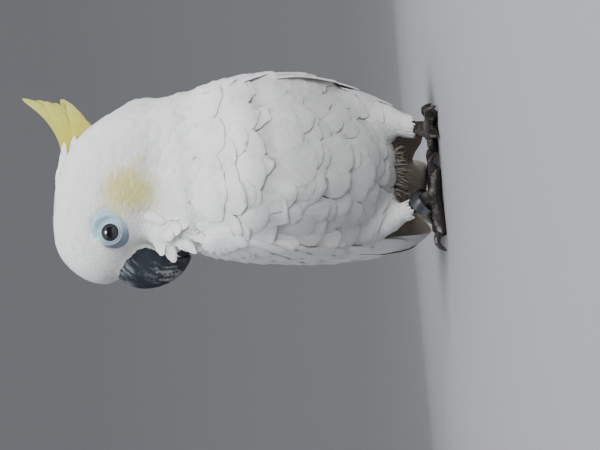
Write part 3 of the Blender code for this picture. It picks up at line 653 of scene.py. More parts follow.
bpy.context.view_layer.objects.active = skin
skin.select_set(True)
bpy.ops.object.mode_set(mode="EDIT")
bpy.ops.mesh.select_all(action="SELECT")
bpy.ops.uv.smart_project(angle_limit=math.radians(80), island_margin=0.002)
bpy.ops.object.mode_set(mode="OBJECT")
skin.data.uv_layers[0].name = "skin_map"
for label, rows in (("outward", facing), ("lie", lie), ("feather", feather * MM)):
    mark(skin, label, "FLOAT_VECTOR", rows)
mark(skin, "plumage", "FLOAT_COLOR", plumage)
for label, share in tracts.items():
    mark(skin, label, "FLOAT", share * covered)


def coloured(name, **values):
    """A material whose colour, with its painted light and shade, is read from the surface's own
    marking.
    """
    made, tree, shader = start_material(name, **values)
    marking = add_node(tree, "ShaderNodeAttribute", attribute_name="plumage")
    wire(tree, shader, {"Base Color": marking})
    return made, tree, shader


# Down-covered skin: matt, soft and warm white, seen only in the gaps.
down, _, _ = coloured("white down", Roughness=1.0, Subsurface_Weight=0.2,
                      Subsurface_Scale=2 * MM, Specular_IOR_Level=0.1)
# Bare skin of the lids: thin, pale blue, slightly moist, with pores 0.36 mm apart.
PORES = 2.8                    # in a millimetre
lid_skin, tree, shader = coloured("bare eyelid skin", Roughness=0.5, Subsurface_Weight=0.3,
                                  Subsurface_Scale=1.2 * MM, Specular_IOR_Level=0.4)
pores = add_pattern(tree, "ShaderNodeTexVoronoi", PORES)
wire(tree, shader, {"Normal": add_node(tree, "ShaderNodeBump", {
    "Height": pores, "Strength": 0.35, "Distance": 0.1 * MM})})
# Dry horny foot skin: small raised scales 1.1 mm wide, with dust in between.
SCALES = 0.9                   # in a millimetre
foot_skin, tree, shader = coloured("dusty scaled skin", Roughness=0.72, Specular_IOR_Level=0.35)
scales = add_pattern(tree, "ShaderNodeTexVoronoi", SCALES, feature="DISTANCE_TO_EDGE")
plates = add_node(tree, "ShaderNodeMapRange", {"Value": scales, "From Max": 0.12})
wire(tree, shader, {"Normal": add_node(tree, "ShaderNodeBump", {
    "Height": plates, "Strength": 0.8, "Distance": 0.25 * MM})})
skin.data.materials.clear()
for finish in (down, lid_skin, foot_skin):
    skin.data.materials.append(finish)
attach(skin, "root")
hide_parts(*FLESH)


# ------------------------------------------------------------------ coat
# Small white body feathers, rooted in the skin and lying back along the bird
# like shingles: tiny on the face, broad and cushioned on neck and breast.
def vane_faces(along, across, first=0):
    """Faces of a closed vane, its sharp rim, and the first corner of its underside."""
    size = across + 1
    tip = first + along * size
    under = tip + 1
    faces, rim = [], []
    for row in range(along - 1):
        left = first + row * size
        right = left + across
        faces += [(corner, corner + 1, corner + size + 1, corner + size)
                  for corner in range(left, right)]
        faces += [(left, left + size, under + row + 1, under + row),
                  (under + row, under + row + 1, right + size, right)]
        rim += [frozenset((left, left + size)), frozenset((right, right + size))]
    last = tip - size
    faces += [(corner, corner + 1, tip) for corner in range(last, last + across)]
    faces += [(last, tip, under + along - 1), (under + along - 1, tip, last + across),
              tuple(range(first + across, first - 1, -1)) + (under,)]
    rim += [frozenset((last, tip)), frozenset((last + across, tip))]
    return faces, rim, under


def mark_rim(item, rim):
    """Keep the edges of the rim sharp."""
    rim = set(rim)
    mark(item, "sharp_edge", "BOOLEAN",
         [frozenset(edge.vertices) in rim for edge in item.data.edges], "EDGE")


def vane_form(name, across, along, tip_round, edge_fall, tip_fall, fray):
    """A closed flat vane, one unit long and wide, with its heights as an attribute."""
    verts, heights, fraying = [], [], []
    shares = [1 - (1 - row / along) ** 1.5 for row in range(along)]
    for share in shares:
        late = max(0.0, (share - 0.5) / 0.5)
        half = 0.5 * (0.55 + 0.45 * math.sin(min(share / 0.5, 1) * math.pi / 2))
        half *= (1 - late ** tip_round) ** (1 / tip_round)
        for column in range(across + 1):
            x = 2 * column / across - 1
            fall = edge_fall * abs(x) ** 2.4 + tip_fall * late ** 5
            verts.append((x * half, share, 0))
            heights.append(0.06 + 0.94 * share ** 0.85 - fall * min(1, share * 3))
            fraying.append(fray * late * (0.3 + 0.7 * abs(x)))
    verts += [(0, 1, 0)] + [(0, share, 0) for share in shares]
    heights += [1 - tip_fall - edge_fall] + heights[::across + 1]
    fraying += [fray] + [0.0] * along
    faces, rim, middle = vane_faces(along, across)
    made = mesh_piece(name, verts, faces)
    mark(made, "height", "FLOAT", heights)
    mark(made, "fray", "FLOAT", fraying)
    mark(made, "vane", "FLOAT_VECTOR", verts)
    patch = made.data.uv_layers.new(name="OFBake")
    for face in made.data.polygons:
        under = any(middle <= index for index in face.vertices)
        for loop in face.loop_indices:
            x, y, _ = verts[made.data.loops[loop].vertex_index]
            patch.data[loop].uv = (0.25 + x * 0.45 + 0.5 * under, y)
    mark_rim(made, rim)
    return made


PATCH_WIDTH = 0.003            # of one feather on the bake map
MATH, VECTORS = "ShaderNodeMath", "ShaderNodeVectorMath"
tract = bpy.data.node_groups.new("feather tract", "GeometryNodeTree")
tract.interface.new_socket("Geometry", in_out="OUTPUT", socket_type="NodeSocketGeometry")
for label, kind in (("Geometry", "Geometry"), ("Vane", "Object"), ("Tract", "String"),
                    ("Spacing", "Float"), ("Seed", "Int"), ("Turn", "Float"),
                    ("Uneven", "Float"), ("Stretch", "Vector"), ("Patch", "Float"),
                    ("Coat", "Material")):
    tract.interface.new_socket(label, in_out="INPUT", socket_type="NodeSocket" + kind)
given = add_node(tract, "NodeGroupInput").outputs
# What the skin and the vanes carry for each feather.
stored = {label: add_node(tract, "GeometryNodeInputNamedAttribute", {"Name": label},
                          data_type=kind)
          for kind, labels in (("FLOAT", ("height", "fray")),
                               ("FLOAT_VECTOR", ("outward", "lie", "feather", "measure",
                                                 "skin_map", "OFBake")))
          for label in labels}
# Roots: no two nearer than the spacing, and none where the tract doesn't grow.
growth = add_node(tract, "GeometryNodeInputNamedAttribute", {"Name": given["Tract"]},
                  data_type="FLOAT")
square = add_node(tract, MATH, {0: given["Spacing"], 1: given["Spacing"]}, operation="MULTIPLY")
feathers = add_node(tract, "GeometryNodeDistributePointsOnFaces", {
    "Mesh": given["Geometry"], "Distance Min": given["Spacing"], "Density Factor": growth,
    "Density Max": add_node(tract, MATH, {0: 3.0, 1: square}, operation="DIVIDE"),
    "Seed": given["Seed"]}, distribute_method="POISSON")
# Each feather's own turn, unevenness and chance number.
other_way = add_node(tract, MATH, {0: given["Turn"], 1: -1.0}, operation="MULTIPLY")
least, most = (add_node(tract, MATH, {0: 1.0, 1: given["Uneven"]}, operation=operation)
               for operation in ("SUBTRACT", "ADD"))
turn, uneven, chance = (
    add_node(tract, "FunctionNodeRandomValue", {2: low, 3: high, "Seed": seed},
             data_type="FLOAT")
    for low, high, seed in ((other_way, given["Turn"], 3), (least, most, 5), (0.0, 1.0, 9)))
aligned = add_node(tract, "FunctionNodeAxesToRotation", {
    "Primary Axis": stored["outward"], "Secondary Axis": stored["lie"]},
    primary_axis="Z", secondary_axis="Y")
turning = add_node(tract, "FunctionNodeAxisAngleToRotation", {"Axis": (0, 0, 1), "Angle": turn})
rotation = add_node(tract, "FunctionNodeRotateRotation", {
    "Rotation": aligned, "Rotate By": turning}, rotation_space="LOCAL")
stretched = add_node(tract, VECTORS, {0: stored["feather"], 1: given["Stretch"]},
                     operation="MULTIPLY")
size = add_node(tract, VECTORS, {0: stretched, "Scale": uneven}, operation="SCALE")
for label, kind, value in (("measure", "FLOAT_VECTOR", size), ("chance", "FLOAT", chance)):
    feathers = add_node(tract, "GeometryNodeStoreNamedAttribute", {
        "Geometry": feathers, "Name": label, "Value": value}, data_type=kind, domain="POINT")
form = add_node(tract, "GeometryNodeObjectInfo", {"Object": given["Vane"]}).outputs["Geometry"]
placed = add_node(tract, "GeometryNodeInstanceOnPoints", {
    "Points": feathers, "Instance": form, "Rotation": rotation,
    "Scale": add_node(tract, VECTORS, {0: stored["measure"], 1: (1, 1, 0)},
                      operation="MULTIPLY")})
# The flat vanes are frayed, laid on the skin and lifted by their own heights.
RUFFLES = 0.56                 # in a millimetre
FRAY_REACH = 2.6
here = add_node(tract, "GeometryNodeInputPosition")
ruffle = add_node(tract, "ShaderNodeTexNoise", {
    "Vector": here, "Scale": RUFFLES / MM, "Detail": 2.0}).outputs["Color"]
ragged = add_node(tract, VECTORS, {
    0: add_node(tract, VECTORS, {0: ruffle, 1: (0.5, 0.5, 0.5)}, operation="SUBTRACT"),
    "Scale": add_node(tract, MATH, {0: stored["fray"], 1: FRAY_REACH * MM},
                      operation="MULTIPLY")},
    operation="SCALE")
loose = add_node(tract, VECTORS, {0: here, 1: ragged}, operation="ADD")
nearest, way_out = (
    add_node(tract, "GeometryNodeSampleNearestSurface", {
        "Mesh": given["Geometry"], "Value": value, "Sample Position": loose},
        data_type="FLOAT_VECTOR")
    for value in (here, stored["outward"]))
rise = add_node(tract, "ShaderNodeSeparateXYZ", {0: stored["measure"]}).outputs["Z"]
standing = add_node(tract, VECTORS, {
    0: add_node(tract, VECTORS, {0: way_out}, operation="NORMALIZE"),
    "Scale": add_node(tract, MATH, {0: stored["height"], 1: rise}, operation="MULTIPLY")},
    operation="SCALE")
laid = add_node(tract, "GeometryNodeSetPosition", {
    "Geometry": add_node(tract, "GeometryNodeRealizeInstances", {"Geometry": placed}),
    "Position": add_node(tract, VECTORS, {0: nearest, 1: standing}, operation="ADD")})
on_patch = add_node(tract, VECTORS, {
    0: add_node(tract, VECTORS, {0: stored["OFBake"], 1: (0.5, 0.5, 0.0)}, operation="SUBTRACT"),
    "Scale": given["Patch"]}, operation="SCALE")
mapped = add_node(tract, "GeometryNodeStoreNamedAttribute", {
    "Geometry": laid, "Name": "OFBake",
    "Value": add_node(tract, VECTORS, {0: stored["skin_map"], 1: on_patch}, operation="ADD")},
    data_type="FLOAT2", domain="CORNER")
add_node(tract, "NodeGroupOutput", {0: add_node(tract, "GeometryNodeSetMaterial", {
    "Geometry": mapped, "Material": given["Coat"]})})


def lay_feathers(name, vane, tract_name, spacing, seed, turn, uneven, stretch):
    """Plant one tract of the skin with feathers and bake them as a piece."""
    host = into_scene(name + "_roots", skin.data)
    planting = host.modifiers.new("feathers", "NODES")
    planting.node_group = tract
    values = {"Vane": vane, "Tract": tract_name, "Spacing": spacing * MM, "Seed": seed,
              "Turn": math.radians(turn), "Uneven": uneven, "Stretch": stretch,
              "Patch": PATCH_WIDTH, "Coat": white_vane}
    for socket in tract.interface.items_tree:
        if socket.name in values and socket.in_out == "INPUT":
            planting[socket.identifier] = values[socket.name]
    coat_piece = baked(host, name)
    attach(coat_piece, "root")
    return coat_piece


# White keratin vanes: matt with a soft sheen, the barbs drawn at 0.8 mm, three
# times coarser than real so that they show, and a trace of light coming through.
BARB_SPACING = 0.8
BARB_SLANT = 1.1
CLUMP_WIDTH = 2.2
SHAFT_HALF_WIDTH = 0.35
# Tint of the lower faces of long feathers: partly a stain, partly painted warm light bounced up
# from below.
UNDER_STAIN_AND_BOUNCE = "E4D2BE"
white_vane, tree, shader = start_material(
    "feather vane white", Roughness=0.75, Sheen_Weight=0.25, Sheen_Roughness=0.5,
    Subsurface_Weight=0.15, Subsurface_Scale=0.8 * MM, Subsurface_Radius=(1.0, 0.95, 0.9),
    Specular_IOR_Level=0.25)
# A place on the vane in metres: across it, and along it less the barbs' slant.
vane, measure, chance, lower_stain_and_bounce, marking = (
    add_node(tree, "ShaderNodeAttribute", attribute_name=label).outputs[output]
    for label, output in (("vane", "Vector"), ("measure", "Vector"), ("chance", "Fac"),
                          ("lower_stain_and_bounce", "Fac"), ("plumage", "Color")))
on_vane = add_node(tree, "ShaderNodeSeparateXYZ", {
    0: add_node(tree, VECTORS, {0: vane, 1: measure}, operation="MULTIPLY")})
across = add_node(tree, MATH, {0: on_vane.outputs["X"]}, operation="ABSOLUTE")
slant = add_node(tree, MATH, {
    0: on_vane.outputs["Y"],
    1: add_node(tree, MATH, {0: across, 1: BARB_SLANT}, operation="MULTIPLY")},
    operation="SUBTRACT")
# Barbs cling together in uneven clumps, each vane in its own way.
clump_at = add_node(tree, "ShaderNodeCombineXYZ", {
    axis: add_node(tree, MATH, {0: value, 1: stretch}, operation="MULTIPLY")
    for axis, value, stretch in (("X", slant, 1 / (CLUMP_WIDTH * MM)),
                                 ("Y", across, 0.12 / (CLUMP_WIDTH * MM)),
                                 ("Z", chance, 37.0))})
clump = add_node(tree, "ShaderNodeTexNoise", {"Vector": clump_at, "Scale": 1.0, "Detail": 2.0})
phase = add_node(tree, MATH, {0: slant, 1: 2 * math.pi / (BARB_SPACING * MM)},
                 operation="MULTIPLY")
barbs = add_node(tree, MATH, {
    0: add_node(tree, MATH, {0: phase}, operation="SINE"),
    1: add_node(tree, MATH, {0: clump, 1: 9.0}, operation="MULTIPLY")}, operation="ADD")
on_shaft = add_node(tree, MATH, {0: across, 1: SHAFT_HALF_WIDTH * MM}, operation="LESS_THAN")
relief = add_node(tree, MATH, {
    0: barbs, 1: add_node(tree, MATH, {0: on_shaft, 1: 1.6}, operation="MULTIPLY")},
    operation="ADD")
tone = add_node(tree, MATH, {
    0: add_node(tree, MATH, {0: chance, 1: 0.06, 2: 0.84}, operation="MULTIPLY_ADD"),
    1: add_node(tree, MATH, {0: clump, 1: 0.26}, operation="MULTIPLY")}, operation="ADD")
# The lower faces of long feathers are tinted yellow brown: partly a stain, partly painted warm
# light bounced up from below.
stain_and_bounce_mix = add_node(tree, "ShaderNodeMix", {"Factor": lower_stain_and_bounce, 6: marking, 7: linear(UNDER_STAIN_AND_BOUNCE)},
                  data_type="RGBA")
wire(tree, shader, {
    "Base Color": add_node(tree, "ShaderNodeMix", {"Factor": 1.0, 6: stain_and_bounce_mix, 7: tone},
                           data_type="RGBA", blend_type="MULTIPLY"),
    "Normal": add_node(tree, "ShaderNodeBump", {
        "Height": relief, "Strength": 0.4, "Distance": 0.16 * MM})})

soft_vane = vane_form("soft_vane", 2, 4, 2.2, 0.62, 0.45, 0.3)
short_vane = vane_form("short_vane", 2, 4, 2.2, 0.4, 0.3, 0.5)
body_vane = vane_form("body_vane", 6, 8, 2.4, 0.12, 0.04, 1.0)
TRACTS = [                     # tract, vane, spacing, seed, turn, unevenness
    ("face", soft_vane, 1.15, 11, 10, 0.12), ("cheek", soft_vane, 1.7, 12, 10, 0.15),
    ("nape", short_vane, 3.4, 13, 16, 0.3), ("crown", body_vane, 6.5, 19, 10, 0.25),
    ("throat", body_vane, 7.2, 14, 18, 0.28), ("breast", body_vane, 8.6, 15, 18, 0.3),
    ("belly", body_vane, 8.0, 16, 20, 0.3), ("thigh", short_vane, 2.4, 17, 12, 0.15),
    ("shoulder", body_vane, 6.0, 18, 8, 0.15), ("vent", short_vane, 2.2, 20, 30, 0.35)]
TRACT_STRETCH = {"crown": (1.5, 1.5, 1.6), "nape": (1.5, 1.2, 1.5), "vent": (0.45, 0.9, 1.6)}
for tract_name, vane, spacing, seed, turn, uneven in TRACTS:
    coat_piece = lay_feathers(tract_name + "_feathers", vane, tract_name, spacing, seed, turn,
                              uneven, TRACT_STRETCH.get(tract_name, (1, 1, 1)))
for form in (soft_vane, short_vane, body_vane):
    bpy.data.objects.remove(form)

# ------------------------------------------------------------------ wings
# Each folded wing: long stiff flight feathers in a closed fan, the inner ones
# over the outer, and rows of short coverts over their roots from the bend down.
BODY_MIDDLE = (-3.0, 0.16, -0.00055, -0.05)   # middle line: at the floor, per z, z*z and y
WING_STATIONS = {              # lower edge, outer face, upper edge: each out, y, z
    1: [((41, -51, 129), (42.5, -51, 134), (41, -48, 140)),
        ((47.5, -46, 112), (48.5, -38, 135), (44, -24, 152)),
        ((52.5, -30, 84), (55.5, -14, 121), (45, 12, 156)),
        ((51, -4, 57), (60, 14, 101), (40, 42, 143)),
        ((48, 26, 37), (59, 42, 81), (33, 70, 119)),
        ((45, 56, 20), (54.5, 72, 60), (24, 95, 92)),
        ((40.5, 88, 7), (45.5, 100, 41), (15, 119, 66)),
        ((34.5, 120, 8.5), (35, 128, 30), (9, 142, 46)),
        ((27.5, 150, 17), (25, 155, 25.5), (6, 165, 32)),
        ((19, 179, 16.5), (14, 182, 19.5), (4, 187, 22)),
        ((9, 199, 12.4), (7, 200, 13.4), (3, 203, 14.2))],
    -1: [((42, -51, 129), (44, -51, 134), (43, -48, 140)),
         ((49, -46, 112), (53.5, -38, 135), (50, -24, 154)),
         ((53, -31, 84), (59.5, -14, 121), (48, 12, 158)),
         ((50, -6, 57), (61.5, 14, 101), (40, 42, 143)),
         ((45.5, 23, 37), (61.5, 42, 81), (33, 70, 119)),
         ((42, 54, 20), (57.5, 72, 60), (24, 95, 92)),
         ((38.5, 87, 7), (51, 99, 39), (15, 119, 66)),
         ((33, 119, 8.5), (41, 125, 26), (9, 142, 46)),
         ((26.5, 149.5, 17), (28, 154, 24), (6, 165, 32)),
         ((19, 179, 16.5), (14, 182, 19.5), (4, 187, 22)),
         ((9, 199, 12.4), (7, 200, 13.4), (3, 203, 14.2))]}
PRIMARY_TIPS = [8.5, 9.1, 9.6, 9.9, 10.0, 9.75, 9.4, 9.0, 8.6]   # in stations, outermost first
SECONDARY_COUNT = 10
COVERT_ROWS = [                # root, tip in stations, count, half width, lift at the tip
    (3.2, 5.1, 10, 8.4, 0.3), (2.3, 4.1, 10, 8.2, 0.4), (1.6, 3.1, 9, 7.8, 0.5),
    (1.0, 2.35, 8, 7.2, 0.5), (0.5, 1.7, 8, 6.4, 0.5), (0.1, 1.1, 7, 5.6, 0.3)]


def curve_rows(stations, at):
    """Rows of a Catmull-Rom curve through stations, read at station numbers."""
    rows = np.array(stations, float)
    rows = np.concatenate([rows[:1], rows, rows[-1:]])
    whole = np.clip(np.floor(at).astype(int), 0, len(stations) - 2)
    t = (np.asarray(at, float) - whole)[:, None]
    a, b, c, d = rows[whole], rows[whole + 1], rows[whole + 2], rows[whole + 3]
    return 0.5 * (2 * b + (c - a) * t + (2 * a - 5 * b + 4 * c - d) * t * t
                  + (3 * b - a - 3 * c + d) * t ** 3)


def lean(points):
    """Points given from the leaning middle of the body, in body millimetres."""
    start, rate, easing_off, turning_off = BODY_MIDDLE
    y, z = points[..., 1], points[..., 2]
    moved = points.copy()
    moved[..., 0] += start + rate * z + easing_off * z * z + turning_off * y
    return moved


def wing_sheet(sign):
    """A reader of places, directions across and outward on a wing's outer face."""
    stations = WING_STATIONS[sign]
    at = np.linspace(0, len(stations) - 1, 241)
    share = np.linspace(0, 1, 41)[None, :, None]
    rows = curve_rows([sum(station, ()) for station in stations], at)
    lower, outer, upper = (rows[:, None, first:first + 3] for first in (0, 3, 6))
    control = 2 * outer - (lower + upper) / 2
    sheet = (1 - share) ** 2 * lower + 2 * share * (1 - share) * control + share ** 2 * upper
    sheet[..., 0] *= sign
    sheet = lean(sheet)
    across = np.gradient(sheet, share[0, :, 0], axis=1)
    out = unit(np.cross(across, np.gradient(sheet, at, axis=0))) * -sign

    def read(station, s):
        row = np.clip(station / at[-1], 0, 1) * (len(at) - 1)
        inside = min(max(s, 0.0), 1.0)
        column = inside * 40
        r0, c0 = min(int(row), len(at) - 2), min(int(column), 39)
        fr, fc = row - r0, column - c0
        mixed = [(1 - fr) * ((1 - fc) * grid[r0, c0] + fc * grid[r0, c0 + 1])
                 + fr * ((1 - fc) * grid[r0 + 1, c0] + fc * grid[r0 + 1, c0 + 1])
                 for grid in (sheet, across, out)]
        return mixed[0], mixed[1], unit(mixed[2]), s - inside

    return read


def start_vanes():
    """Empty lists for a piece made of separate closed vanes."""
    return {key: [] for key in ("verts", "faces", "vane", "measure", "plumage", "chance",
                                "strips", "rim")}


def add_vane(vanes, spot, length, half_width, colour, rows=14, columns=6, camber=0.5,
             thickness=0.35, root_share=0.5, blunt=0.86, point=2.0, ragged=0.05):
    """One long closed vane; spot(share, x, lift) gives body millimetres."""
    first = len(vanes["verts"])
    chance = noise.random()

    def add(share, across, x, lift):
        vanes["verts"].append(place(spot(share, x, lift)))
        vanes["vane"].append((across / 2, share, 0))
        vanes["measure"].append((2 * half_width * MM, length * MM, MM))
        vanes["plumage"].append(colour(share) if callable(colour) else colour)
        vanes["chance"].append(chance)

    shares = [1 - (1 - row / rows) ** 1.25 for row in range(rows)]
    for share in shares:
        grown = root_share + (1 - root_share) * math.sin(min(1, share / 0.4) * math.pi / 2)
        late = max(0.0, (share - blunt) / (1 - blunt))
        width = half_width * grown * (1 - late ** point) ** 0.5
        for column in range(columns + 1):
            across = 2 * column / columns - 1
            notch = noise.noise(Vector((share * 9.0, chance * 90, across * 7)))
            wavy = 1 + ragged * notch * (abs(across) == 1)
            add(share, across, across * width * wavy,
                camber * (1 - across * across) + thickness * (1 - abs(across)))
    add(1.0, 0.0, 0.0, 0.0)
    for share in shares:
        add(share, 0.0, 0.0, camber - thickness)
    faces, rim, under = vane_faces(rows, columns, first)
    vanes["faces"] += faces
    vanes["rim"] += rim
    vanes["strips"].append((under, len(vanes["faces"])))


def finish_vanes(name, vanes, nodes=(), stain_and_bounce=0.0):
    """The piece made of the vanes, with each one on its own strip of the bake map."""
    made = mesh_piece(name, vanes["verts"], vanes["faces"])
    data = made.data
    for key, kind in (("vane", "FLOAT_VECTOR"), ("measure", "FLOAT_VECTOR"),
                      ("plumage", "FLOAT_COLOR"), ("chance", "FLOAT")):
        mark(made, key, kind, vanes[key])
    mark_rim(made, vanes["rim"])
    patch = data.uv_layers.new(name="OFBake")
    lane = 1 / len(vanes["strips"])
    lower_stain_and_bounce, strip = [], 0
    for face in data.polygons:
        while face.index >= vanes["strips"][strip][1]:
            strip += 1
        # Lower faces take the tint of stain and painted bounce light.
        lower = any(index >= vanes["strips"][strip][0] for index in face.vertices)
        lower_stain_and_bounce.append(stain_and_bounce * lower)
        for loop in face.loop_indices:
            x, y, _ = vanes["vane"][data.loops[loop].vertex_index]
            patch.data[loop].uv = ((strip + 0.25 + 0.5 * lower + x * 0.42) * lane,
                                   0.01 + 0.98 * y)
    mark(made, "lower_stain_and_bounce", "FLOAT", lower_stain_and_bounce, "FACE")
    data.materials.append(white_vane)
    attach(made, "root")
    if nodes:
        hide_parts(*nodes)


def wing_spot(read, root, tip, lifts, tilt):
    """Where a wing vane lies: root and tip are (station, s), lifts at root, middle and tip."""
    def spot(share, x, lift):
        station = root[0] + (tip[0] - root[0]) * share
        s = root[1] + (tip[1] - root[1]) * (share * 0.6 + 0.4 * share * share)
        _, across, _, _ = read(station, s)
        span = max(4.0, np.linalg.norm(across))
        middle, across, out, over = read(station, s + x / span)
        along_skin = across / max(1e-6, np.linalg.norm(across)) * over * span
        base = np.interp(share, [0, 0.3, 1], lifts) - tilt * x
        return middle + along_skin + out * (base + lift)
    return spot


noise.seed_set(21)
STATION_LENGTH = 24            # from one wing station to the next
wing_white = linear("E9EAEB")
wing_tip_grey = linear("CBC9C6")
for wing, sign in WINGS.items():
    read = wing_sheet(sign)
    vanes = start_vanes()
    for index, tip in enumerate(PRIMARY_TIPS):
        root = (3.3 + 0.08 * index, 0.05 + 0.065 * index)
        end = (tip, 0.12 + 0.085 * index)
        spot = wing_spot(read, root, end, (-2.6, -1.5, -0.9), 0.13)
        add_vane(vanes, spot, STATION_LENGTH * (tip - root[0]), 8.0, lambda share: blend(
            wing_white, wing_tip_grey, share), rows=20, blunt=0.9, camber=0.3)
    for index in range(SECONDARY_COUNT):
        share = index / (SECONDARY_COUNT - 1)
        root = (2.7 - 0.3 * share, 0.30 + 0.62 * share)
        end = (8.1 - 1.5 * share, 0.36 + 0.56 * share)
        spot = wing_spot(read, root, end, (-2.2, -0.8, -0.3), 0.13)
        add_vane(vanes, spot, STATION_LENGTH * (end[0] - root[0]), 8.5, wing_white, rows=18,
                 blunt=0.88, camber=0.3)
    for row, (root_at, tip_at, count, half, lift) in enumerate(COVERT_ROWS):
        for index in range(count):
            s = 0.04 + 0.92 * (index + 0.5 * (row % 2) + 0.25) / count
            s += 0.035 * (noise.random() - 0.5)
            reach = tip_at + 0.3 * (noise.random() - 0.5) - 0.2 * s
            lifts = (-2.6, -1.3, lift + 0.5 * (noise.random() - 0.5))
            spot = wing_spot(read, (root_at, s), (reach, s + 0.02), lifts, 0.07)
            add_vane(vanes, spot, STATION_LENGTH * (reach - root_at), half, wing_white, rows=9,
                     blunt=0.5, camber=0.35, point=2.2)
    finish_vanes(wing + "_feathers", vanes, [wing], 0.8)

# ------------------------------------------------------------------ tail
# Twelve stiff tail feathers in a nearly closed fan, the middle pair on top,
# bent down at the root and resting on the floor at their tips.
TAIL_STATIONS = [              # y, middle height, half width, half thickness
    (112, 48, 12, 5), (130, 37, 16, 4.2), (150, 23.5, 21, 3.2), (172, 11.6, 25, 2.6),
    (196, 5, 28, 2.1), (222, 1.8, 30, 1.9), (243, 1.2, 27, 1.6), (254, 1, 14, 1.4)]
TAIL_SPREAD = [(112, 12), (130, 15), (150, 18.5), (172, 21), (196, 22.5), (222, 23),
               (254, 22)]      # y, half width of the fan
TAIL_PAIRS = 6
TAIL_START = 116               # y of the feathers' roots
TAIL_LENGTH = 137
COVERT_ROOT_Z = {1: 64.0, -1: 31.0}      # above and below the tail
EDGE_INSET = 8.5 * 0.55        # of the outer feathers' shafts from the fan's edge
UPPER_COVERTS = [              # root y, tip y, count, half width, lift
    (108, 168, 9, 6.0, 2.2), (104, 154, 11, 6.0, 3.2), (98, 138, 11, 6.0, 6.0),
    (92, 124, 11, 6.0, 11.0)]
UNDER_COVERTS = [(104, 180, 17, 3.6, -2.2), (98, 164, 18, 3.4, -3.6), (92, 146, 18, 3.2, -5.0)]


def tail_line(y):
    """Middle height, half width and half thickness of the tail."""
    places, *measures = zip(*TAIL_STATIONS)
    return [float(np.interp(y, places, measure)) for measure in measures]


def tail_spot(place_across, end, lift_at):
    """Where a tail vane lies; place_across is from -1 to 1 over the fan."""
    def spot(share, x, lift):
        y = TAIL_START + (end - TAIL_START) * share
        z, _, half = tail_line(y)
        side_x = place_across * (np.interp(y, *zip(*TAIL_SPREAD)) - EDGE_INSET) + x
        height = z + half * 0.6 + lift_at - 0.004 * side_x * side_x + lift * 0.8
        floor_gap = 0.2 + 0.35 * lift + 0.16 * (lift_at + 1.6)
        return lean(np.array((side_x, y, max(floor_gap, height))))
    return spot


def tail_covert_spot(across, start, end, lift_at):
    """Where a feather of the tail's root lies, above or below the tail."""
    above = 1 if lift_at > 0 else -1

    def spot(share, x, lift):
        y = start + (end - start) * share
        z, wide, half = tail_line(max(y, 112))
        z += (COVERT_ROOT_Z[above] - z) * float(ease(118, 96, y))
        side_x = x + (across * (wide + 6 - 8 * share) if above > 0
                      else across * (29 - 8 * share) + 4 * (1 - share))
        bend = (0.010 if above > 0 else 0.003) * side_x * side_x * (1 - 0.5 * share)
        height = z + above * (half - bend) + lift_at * (1 - 0.75 * share) + above * lift
        return lean(np.array((side_x, y, max(0.4, height))))
    return spot


vanes = start_vanes()
tail_white = linear("E2E1DC")
tail_stain = linear("CBC4B0")
under_stain = linear("A3927A")
under_pale = linear("DED2BA")
for rank in range(TAIL_PAIRS - 1, -1, -1):
    for sign in (-1, 1):
        across = sign * (rank + 0.35) / (TAIL_PAIRS - 0.65)
        spot = tail_spot(across, 253.5 - 1.3 * rank, 0.5 - 0.36 * rank)
        add_vane(vanes, spot, TAIL_LENGTH, 8.6, lambda share: blend(
            tail_stain, tail_white, min(1.0, share * 1.3)), rows=18, blunt=0.9, camber=0.25,
            thickness=0.3)
for rows, root_tone, tip_tone in (
        (UPPER_COVERTS, tail_white, tail_white),
        (UNDER_COVERTS, under_stain, under_pale)):
    for start, end, count, half, lift_at in rows:
        for index in range(count):
            across = 2 * (index + 0.5 + 0.3 * (noise.random() - 0.5)) / count - 1
            reach = end - 7 * across * across + 5 * (noise.random() - 0.5)
            spot = tail_covert_spot(across, start, reach, lift_at)
            shade = 1.0 if lift_at > 0 else 0.7 + 0.45 * noise.random()
            add_vane(vanes, spot, reach - start, half, lambda share: shade * blend(
                root_tone, tip_tone, share), rows=12, blunt=0.6)
finish_vanes("tail_feathers", vanes, ["tail"], 0.35)

# ------------------------------------------------------------------ crest
# Long narrow yellow plumes, folded back from the crown with their tips curled
# up, and the white cover feathers that close over their roots.
CREST_PLUMES = [               # root and tip as (forward, z), bow, half width, tip to the side
    ((-7, 232), (-67.3, 263.0), 27, 4.2, 0.0), ((-8, 231.5), (-65.6, 254.4), 21, 4.8, -1.8),
    ((-9, 231), (-63.2, 247.4), 14, 5.0, 2.0), ((-9.5, 230), (-62.0, 241.9), 12, 5.0, 0.8),
    ((-10, 229), (-64.7, 238.0), 12, 5.0, -2.2), ((-11, 228), (-60.7, 231.8), 10, 5.0, 2.4),
    ((-12, 227), (-56.6, 228.4), 9, 4.8, -1.0), ((-13, 226), (-52.3, 225.4), 8, 4.6, 1.6),
    ((-14, 224.5), (-48.6, 222.0), 7, 4.4, 0.2), ((-16, 223), (-45.3, 219.0), 6, 4.0, -0.8)]
COVER_TIPS = [(-15, 238.5), (-23, 236.5), (-31, 233), (-37, 228), (-38, 221), (-38, 213)]
COVER_COUNT = 18


def plume_spot(root, tip, bow, sideways):
    """Where a crest plume lies, on edge in the middle plane of the head."""
    def spot(share, x, lift):
        forward = root[0] + (tip[0] - root[0]) * share
        rise = tip[1] - root[1]
        height = root[1] + rise * share + bow * (share ** 4 - share)
        along = unit(np.array((tip[0] - root[0], rise + bow * (4 * share ** 3 - 1))))
        up = np.array((-along[1], along[0])) * np.sign(-along[0])
        out = sideways * share + lift * (1 if sideways >= 0 else -1)
        return head_mm(forward + up[0] * x, out, height + up[1] * x)
    return spot


